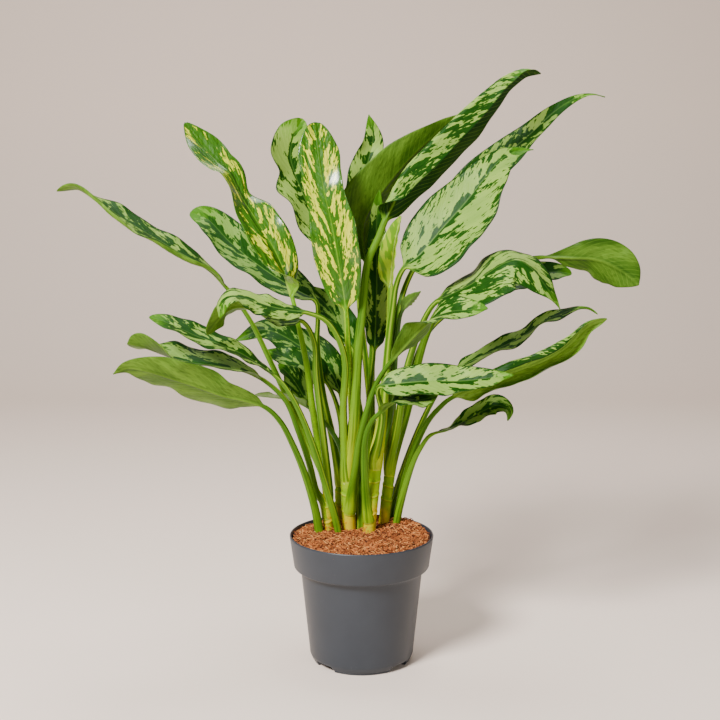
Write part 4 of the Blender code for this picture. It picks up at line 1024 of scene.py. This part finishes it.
def coir_finish():
    coir = Finish("coir", 0.92)
    spots = coir.noise(coir.object_place(), 420.0, 4.0, 0.65)
    stops = [(0.08, srgb(38, 16, 6)), (0.3, srgb(112, 54, 22)), (0.53, srgb(168, 92, 42)),
             (0.76, srgb(202, 122, 60)), (0.98, srgb(232, 170, 102))]
    # each chip stores its own random tone; the ground beneath stores 0, so the gaps between the chips take
    # the darkest browns as painted shade
    shade = coir.number("shade") * 0.75 + spots * 0.35
    coir.feed("Base Color", coir.node("ShaderNodeValToRGB", {"stops": stops}, {"Fac": shade}))
    coir.bump(spots, 0.6, 0.5)
    return coir


def add_soil(finish):
    """Lumpy ground of coir, which fills the pot down to its floor, as the packed soil does."""
    edge = RIM_RADIUS - RIM_WALL - SOIL_GAP
    rings = [circle(radius, 0.0, GROUND_SIDES) for radius in np.linspace(1.2, edge, GROUND_RINGS)]
    for ring in rings:
        ring[:, 2] = soil_height(ring[:, 0], ring[:, 1])
    low = FLOOR + 0.5
    # the side of the coir, along the inside of the pot
    rings += [circle(radius, z, GROUND_SIDES)
              for radius, z in ((edge - 0.4, 140.0), (BODY_TOP_RADIUS - BODY_WALL - 0.6, 108.0),
                                (FOOT_RADIUS - BODY_WALL - 1.0, low))]
    points, faces = closed_skin(rings, (0.0, 0.0, soil_height(0.0, 0.0)), (0.0, 0.0, low))
    ground = smooth_object("soil_ground", points, [face[::-1] for face in faces], finish)
    # painted shade: the ground takes the darkest tone so that the gaps between the chips read as shadowed
    add_attribute(ground, "shade", np.zeros(len(points)))
    finish_piece(ground, "coir", "soil")
    return ground


def add_chip(name, collection, length, width, thick, bend, twist, steps):
    """Curled fibre: a flat strip that bends, twists and tapers, lying on z = 0."""
    points = []
    for i in range(steps + 1):
        t = i / steps
        taper = 0.35 + 0.65 * math.sin(math.pi * (0.12 + 0.76 * t))
        x = length * (t - 0.5)
        aside = 0.4 * x * math.sin(bend * (t - 0.5))
        z = length * 0.5 * bend * (0.25 - (t - 0.5) ** 2)
        turn = twist * t
        for side, up in ((-1, -1), (1, -1), (1, 1), (-1, 1)):
            across = side * width / 2 * taper
            rise = up * thick / 2
            points.append((x, across * math.cos(turn) - rise * math.sin(turn) + aside,
                           z + across * math.sin(turn) + rise * math.cos(turn)))
    last = steps * 4
    faces = [*ring_faces(steps + 1, 4), (3, 2, 1, 0), (last, last + 1, last + 2, last + 3)]
    new_object(name, points, [face[::-1] for face in faces], collection)


# length, width, thickness, bend, twist and steps of the forms that are strewn over the ground
CHIPS = ((3.4, 1.4, 0.6, 0.5, 0.3, 2), (5.2, 0.9, 0.4, 0.9, 1.0, 3), (2.4, 1.8, 0.9, 0.2, 0.2, 2),
         (8.0, 0.5, 0.4, 1.6, 1.6, 5), (6.0, 0.6, 0.4, 2.4, 0.8, 5), (1.8, 1.3, 0.8, 0.3, 0.5, 2))
FIBRES = ((13.0, 0.7, 0.5, 0.9, 0.6, 7), (17.0, 0.6, 0.5, 1.3, 0.9, 8), (10.0, 0.7, 0.5, 0.5, 0.4, 5))
# forms, how many lie on a square metre, seed, and distance that they keep from the rim's wall
STREWN = {"coir_chips": (CHIPS, 290000.0, 5, 4.0), "coir_fibres": (FIBRES, 9000.0, 8, 13.0)}
LEAST_SCALE = 0.5
MOST_SCALE = 1.5
LIFT = 0.9  # radians that a chip is turned out of the ground's plane at most


def strewn(name, ground, finish, forms, density, seed, clear):
    """Scatters the forms over the ground's upper side by Geometry Nodes, as one plain mesh."""
    shapes = bpy.data.collections.new(name + "_form")
    for i, form in enumerate(forms):
        add_chip(f"{name}_form_{i + 1}", shapes, *form)
    tree = bpy.data.node_groups.new(name + "_scatter", "GeometryNodeTree")
    tree.is_modifier = True
    inputs = {"Density": ("NodeSocketFloat", density), "Seed": ("NodeSocketInt", seed),
              "Least": ("NodeSocketFloat", LEAST_SCALE), "Most": ("NodeSocketFloat", MOST_SCALE),
              "Shapes": ("NodeSocketCollection", shapes), "Finish": ("NodeSocketMaterial", finish.material)}
    tree.interface.new_socket("Geometry", in_out="INPUT", socket_type="NodeSocketGeometry")
    sockets = {label: tree.interface.new_socket(label, in_out="INPUT", socket_type=kind).identifier
               for label, (kind, _) in inputs.items()}
    tree.interface.new_socket("Geometry", in_out="OUTPUT", socket_type="NodeSocketGeometry")
    graph = Graph(tree)
    given = {socket.name: Socket(graph, socket)
             for socket in tree.nodes.new("NodeGroupInput").outputs if socket.name}

    x, y, _ = graph.parts(graph.node("GeometryNodeInputPosition"))
    inside = (x * x + y * y).math("LESS_THAN", ((RIM_RADIUS - RIM_WALL - clear) * MM) ** 2)
    upward = graph.parts(graph.node("GeometryNodeInputNormal"))[2].above(0.3)
    spots = graph.node("GeometryNodeDistributePointsOnFaces", {"distribute_method": "RANDOM"},
                       {"Mesh": given["Geometry"], "Selection": inside * upward,
                        "Density": given["Density"], "Seed": given["Seed"]})
    kinds = graph.node("GeometryNodeCollectionInfo", None,
                       {"Collection": given["Shapes"], "Separate Children": True, "Reset Children": True})

    def chance(kind, low, high, shift):
        first, output = (2, 1) if kind == "FLOAT" else (0, 0)
        values = {"Seed": given["Seed"] + shift, first: low, first + 1: high}
        return graph.node("FunctionNodeRandomValue", {"data_type": kind}, values, output=output)

    turn = chance("FLOAT_VECTOR", (-LIFT, -LIFT, -math.pi), (LIFT, LIFT, math.pi), 11)
    scale = chance("FLOAT", given["Least"], given["Most"], 23)
    pieces = graph.node("GeometryNodeInstanceOnPoints", None,
                        {"Points": spots, "Instance": kinds, "Pick Instance": True,
                         "Rotation": turn, "Scale": scale})
    shaded = graph.node("GeometryNodeStoreNamedAttribute", {"data_type": "FLOAT", "domain": "INSTANCE"},
                        {"Geometry": pieces, "Name": "shade", "Value": chance("FLOAT", 0.05, 1.0, 37)})
    real = graph.node("GeometryNodeRealizeInstances", None, {0: shaded})
    painted = graph.node("GeometryNodeSetMaterial", None, {"Geometry": real, "Material": given["Finish"]})
    graph.fill(tree.nodes.new("NodeGroupOutput").inputs[0], painted)

    obj = bpy.data.objects.new(name + "_source", ground.data.copy())
    bpy.context.scene.collection.objects.link(obj)
    modifier = obj.modifiers.new("scatter", "NODES")
    modifier.node_group = tree
    for label, (_, value) in inputs.items():
        modifier[sockets[label]] = value
    finish_piece(plain_copy(obj, name), "coir")


# Pot


def pot_finish():
    plastic = Finish("pot_plastic", 0.4)
    place = plastic.object_place()
    cloud = plastic.noise(place, 22.0, 3.0, 0.55)
    colour = plastic.mix(cloud, srgb(40, 46, 54), srgb(54, 60, 68))
    dust = plastic.step(plastic.noise(place, 140.0, 5.0, 0.7), 0.62, 0.8)
    plastic.feed("Base Color", plastic.mix(dust * 0.25, colour, srgb(88, 92, 96)))
    plastic.feed("Roughness", cloud * 0.12 + 0.36)
    plastic.bump(plastic.noise(place, 900.0), 0.12, 0.12)
    return plastic


def rounded(profile, radius=1.0, steps=4):
    """The profile with each corner between its ends turned in to a small arc."""
    result = [profile[0]]
    for before, corner, after in zip(profile, profile[1:], profile[2:]):
        before, corner, after = (np.array(p, float) for p in (before, corner, after))
        reach_in = np.linalg.norm(before - corner)
        reach_out = np.linalg.norm(after - corner)
        cut_back = min(radius, 0.45 * reach_in, 0.45 * reach_out)
        first = corner + (before - corner) / reach_in * cut_back
        last = corner + (after - corner) / reach_out * cut_back
        result += [(1 - t) ** 2 * first + 2 * t * (1 - t) * corner + t * t * last
                   for t in np.linspace(0, 1, steps)]
    return [*result, profile[-1]]


def prisms(name, outlines):
    """Closed prisms, each from its lower outline and its upper one, as one object."""
    points = []
    faces = []
    for lower, upper in outlines:
        start = len(points)
        count = len(lower)
        points += [*lower, *upper]
        faces += [(start + j, start + (j + 1) % count, start + (j + 1) % count + count, start + j + count)
                  for j in range(count)]
        faces += [tuple(range(start, start + count))[::-1], tuple(range(start + count, start + 2 * count))]
    return new_object(name, points, faces)


def pot_cutters():
    """Arches between the feet and the drain holes."""
    arches = []
    drains = []
    for side in (-90, 90):
        for turn in (-ARCH_TURN, ARCH_TURN):
            middle = math.radians(side + turn)
            ends = []
            for z, splay in ((BELOW_FOOT, ARCH_SPLAY), (ARCH_HEIGHT, -ARCH_SPLAY)):
                turns = middle + math.radians(ARCH_ANGLE + splay) * np.linspace(-0.5, 0.5, 9)
                ends.append([(radius * math.cos(a), radius * math.sin(a), z)
                             for radius, way in ((RIM_RADIUS, 1), (ARCH_INNER_RADIUS, -1))
                             for a in turns[::way]])
            arches.append(ends)
            centre = (DRAIN_AT * math.cos(middle), DRAIN_AT * math.sin(middle), 0.0)
            drains.append([circle(DRAIN_RADIUS, z, DRAIN_SIDES) + centre for z in (BELOW_FOOT, FLOOR + 4.0)])
    return prisms("pot_arches", arches), prisms("pot_drains", drains)


def add_pot(finish):
    shoulder = POT_HEIGHT - COLLAR_HEIGHT
    outside = [(0.0, 0.0), (ARCH_INNER_RADIUS, 0.0), (FOOT_RADIUS, 0.0), (FOOT_RADIUS + 1.0, 2.3),
               (FOOT_RADIUS + 0.4, 2.6), (FOOT_RADIUS + 1.7, 3.2), (BODY_FOOT_RADIUS - 0.6, 9.0),
               (BODY_FOOT_RADIUS, 16.0), (BODY_TOP_RADIUS, shoulder - 5.0),
               (BODY_TOP_RADIUS + 0.9, shoulder - 1.8), (BODY_TOP_RADIUS + 3.0, shoulder - 0.3),
               (COLLAR_FOOT_RADIUS - 1.4, shoulder), (COLLAR_FOOT_RADIUS, shoulder + 1.6),
               (RIM_RADIUS, POT_HEIGHT - 1.2), (RIM_RADIUS - 0.7, POT_HEIGHT),
               (RIM_RADIUS - RIM_WALL + 0.6, POT_HEIGHT)]
    inside = [(RIM_RADIUS - RIM_WALL, POT_HEIGHT - 1.2),
              (COLLAR_FOOT_RADIUS - BODY_WALL - 0.4, shoulder + 3.0),
              (BODY_TOP_RADIUS - BODY_WALL, shoulder - 4.5), (BODY_FOOT_RADIUS - BODY_WALL, 14.0),
              (FOOT_RADIUS - BODY_WALL, FLOOR), (0.0, FLOOR)]
    first, *profile, last = rounded(outside + inside)
    rings = [circle(radius, z, POT_SIDES) for radius, z in profile]
    body = new_object("pot_blank", *closed_skin(rings, (0.0, *first), (0.0, *last)))
    cutters = pot_cutters()
    for cutter in cutters:
        modifier = body.modifiers.new(cutter.name, "BOOLEAN")
        modifier.operation = "DIFFERENCE"
        modifier.solver = "EXACT"
        modifier.object = cutter
    pot = plain_copy(body, "pot_shell")
    for cutter in cutters:
        bpy.data.objects.remove(cutter)
    pot.data.materials.clear()
    pot.data.materials.append(finish.material)
    pot.data.shade_smooth()
    pot.data.set_sharp_from_angle(angle=math.radians(35))
    finish_piece(pot, "pot_plastic", "pot")


# Stage


def plain_stage():
    """Pale floor that curves up in to a backdrop far behind."""
    half, front, back, bend, top = 4000.0, -3000.0, 1800.0, 900.0, 4200.0
    profile = [(front, 0.0), (back, 0.0)]
    for turn in np.linspace(0, math.pi / 2, 13)[1:]:
        profile.append((back + bend * math.sin(turn), bend - bend * math.cos(turn)))
    profile.append((back + bend, top))
    points = [(x, y, z) for y, z in profile for x in (-half, half)]
    faces = [(2 * i, 2 * i + 1, 2 * i + 3, 2 * i + 2) for i in range(len(profile) - 1)]
    paper = Finish("stage_paper", 0.9)
    paper.feed("Base Color", srgb(250, 232, 218))
    stage = smooth_object("stage", points, faces, paper)


def lights():
    for name, (place, size, power, colour) in LAMPS.items():
        light = bpy.data.lights.new(name, "AREA")
        light.shape = "DISK"
        light.size = size
        light.energy = power
        light.color = colour
        obj = bpy.data.objects.new(name, light)
        obj.location = place
        x, y, z = np.array(LAMPS_AIM) - np.array(place)
        obj.rotation_euler = (math.atan2(math.hypot(x, y), -z), 0.0, math.atan2(-x, y))
        bpy.context.scene.collection.objects.link(obj)
    world = bpy.data.worlds.new("studio")
    world.use_nodes = True
    background = world.node_tree.nodes["Background"]
    background.inputs["Color"].default_value = (*srgb(*WORLD_COLOUR), 1.0)
    background.inputs["Strength"].default_value = WORLD_STRENGTH
    bpy.context.scene.world = world


def camera():
    data = bpy.data.cameras.new("photo_view")
    data.lens = CAMERA_LENS
    data.sensor_width = CAMERA_SENSOR
    data.dof.use_dof = False
    view = bpy.data.objects.new("photo_view", data)
    view.location = CAMERA_PLACE
    view.rotation_euler = (math.radians(90.0 - CAMERA_TILT), 0.0, 0.0)
    bpy.context.scene.collection.objects.link(view)
    bpy.context.scene.camera = view


def main():
    LEAF_LOOKS.update(silver=silver_finish(), young=young_finish(), rolled=rolled_finish(),
                      plain=plain_finish())
    skin = cane_finish()
    for seed, (name, spec) in enumerate(CANES.items()):
        add_cane(name, spec, skin, seed)
    for add_leaves in (leaves_of_left_cane, leaves_of_left_soil, leaves_of_middle_cane, leaves_of_tall_cane,
                       leaves_of_right_cane, leaves_of_right_soil, leaves_of_back_left_cane,
                       leaves_of_back_cane):
        add_leaves()
    coir = coir_finish()
    ground = add_soil(coir)
    for name, scatter in STREWN.items():
        strewn(name, ground, coir, *scatter)
    add_pot(pot_finish())
    plain_stage()
    lights()
    camera()


main()
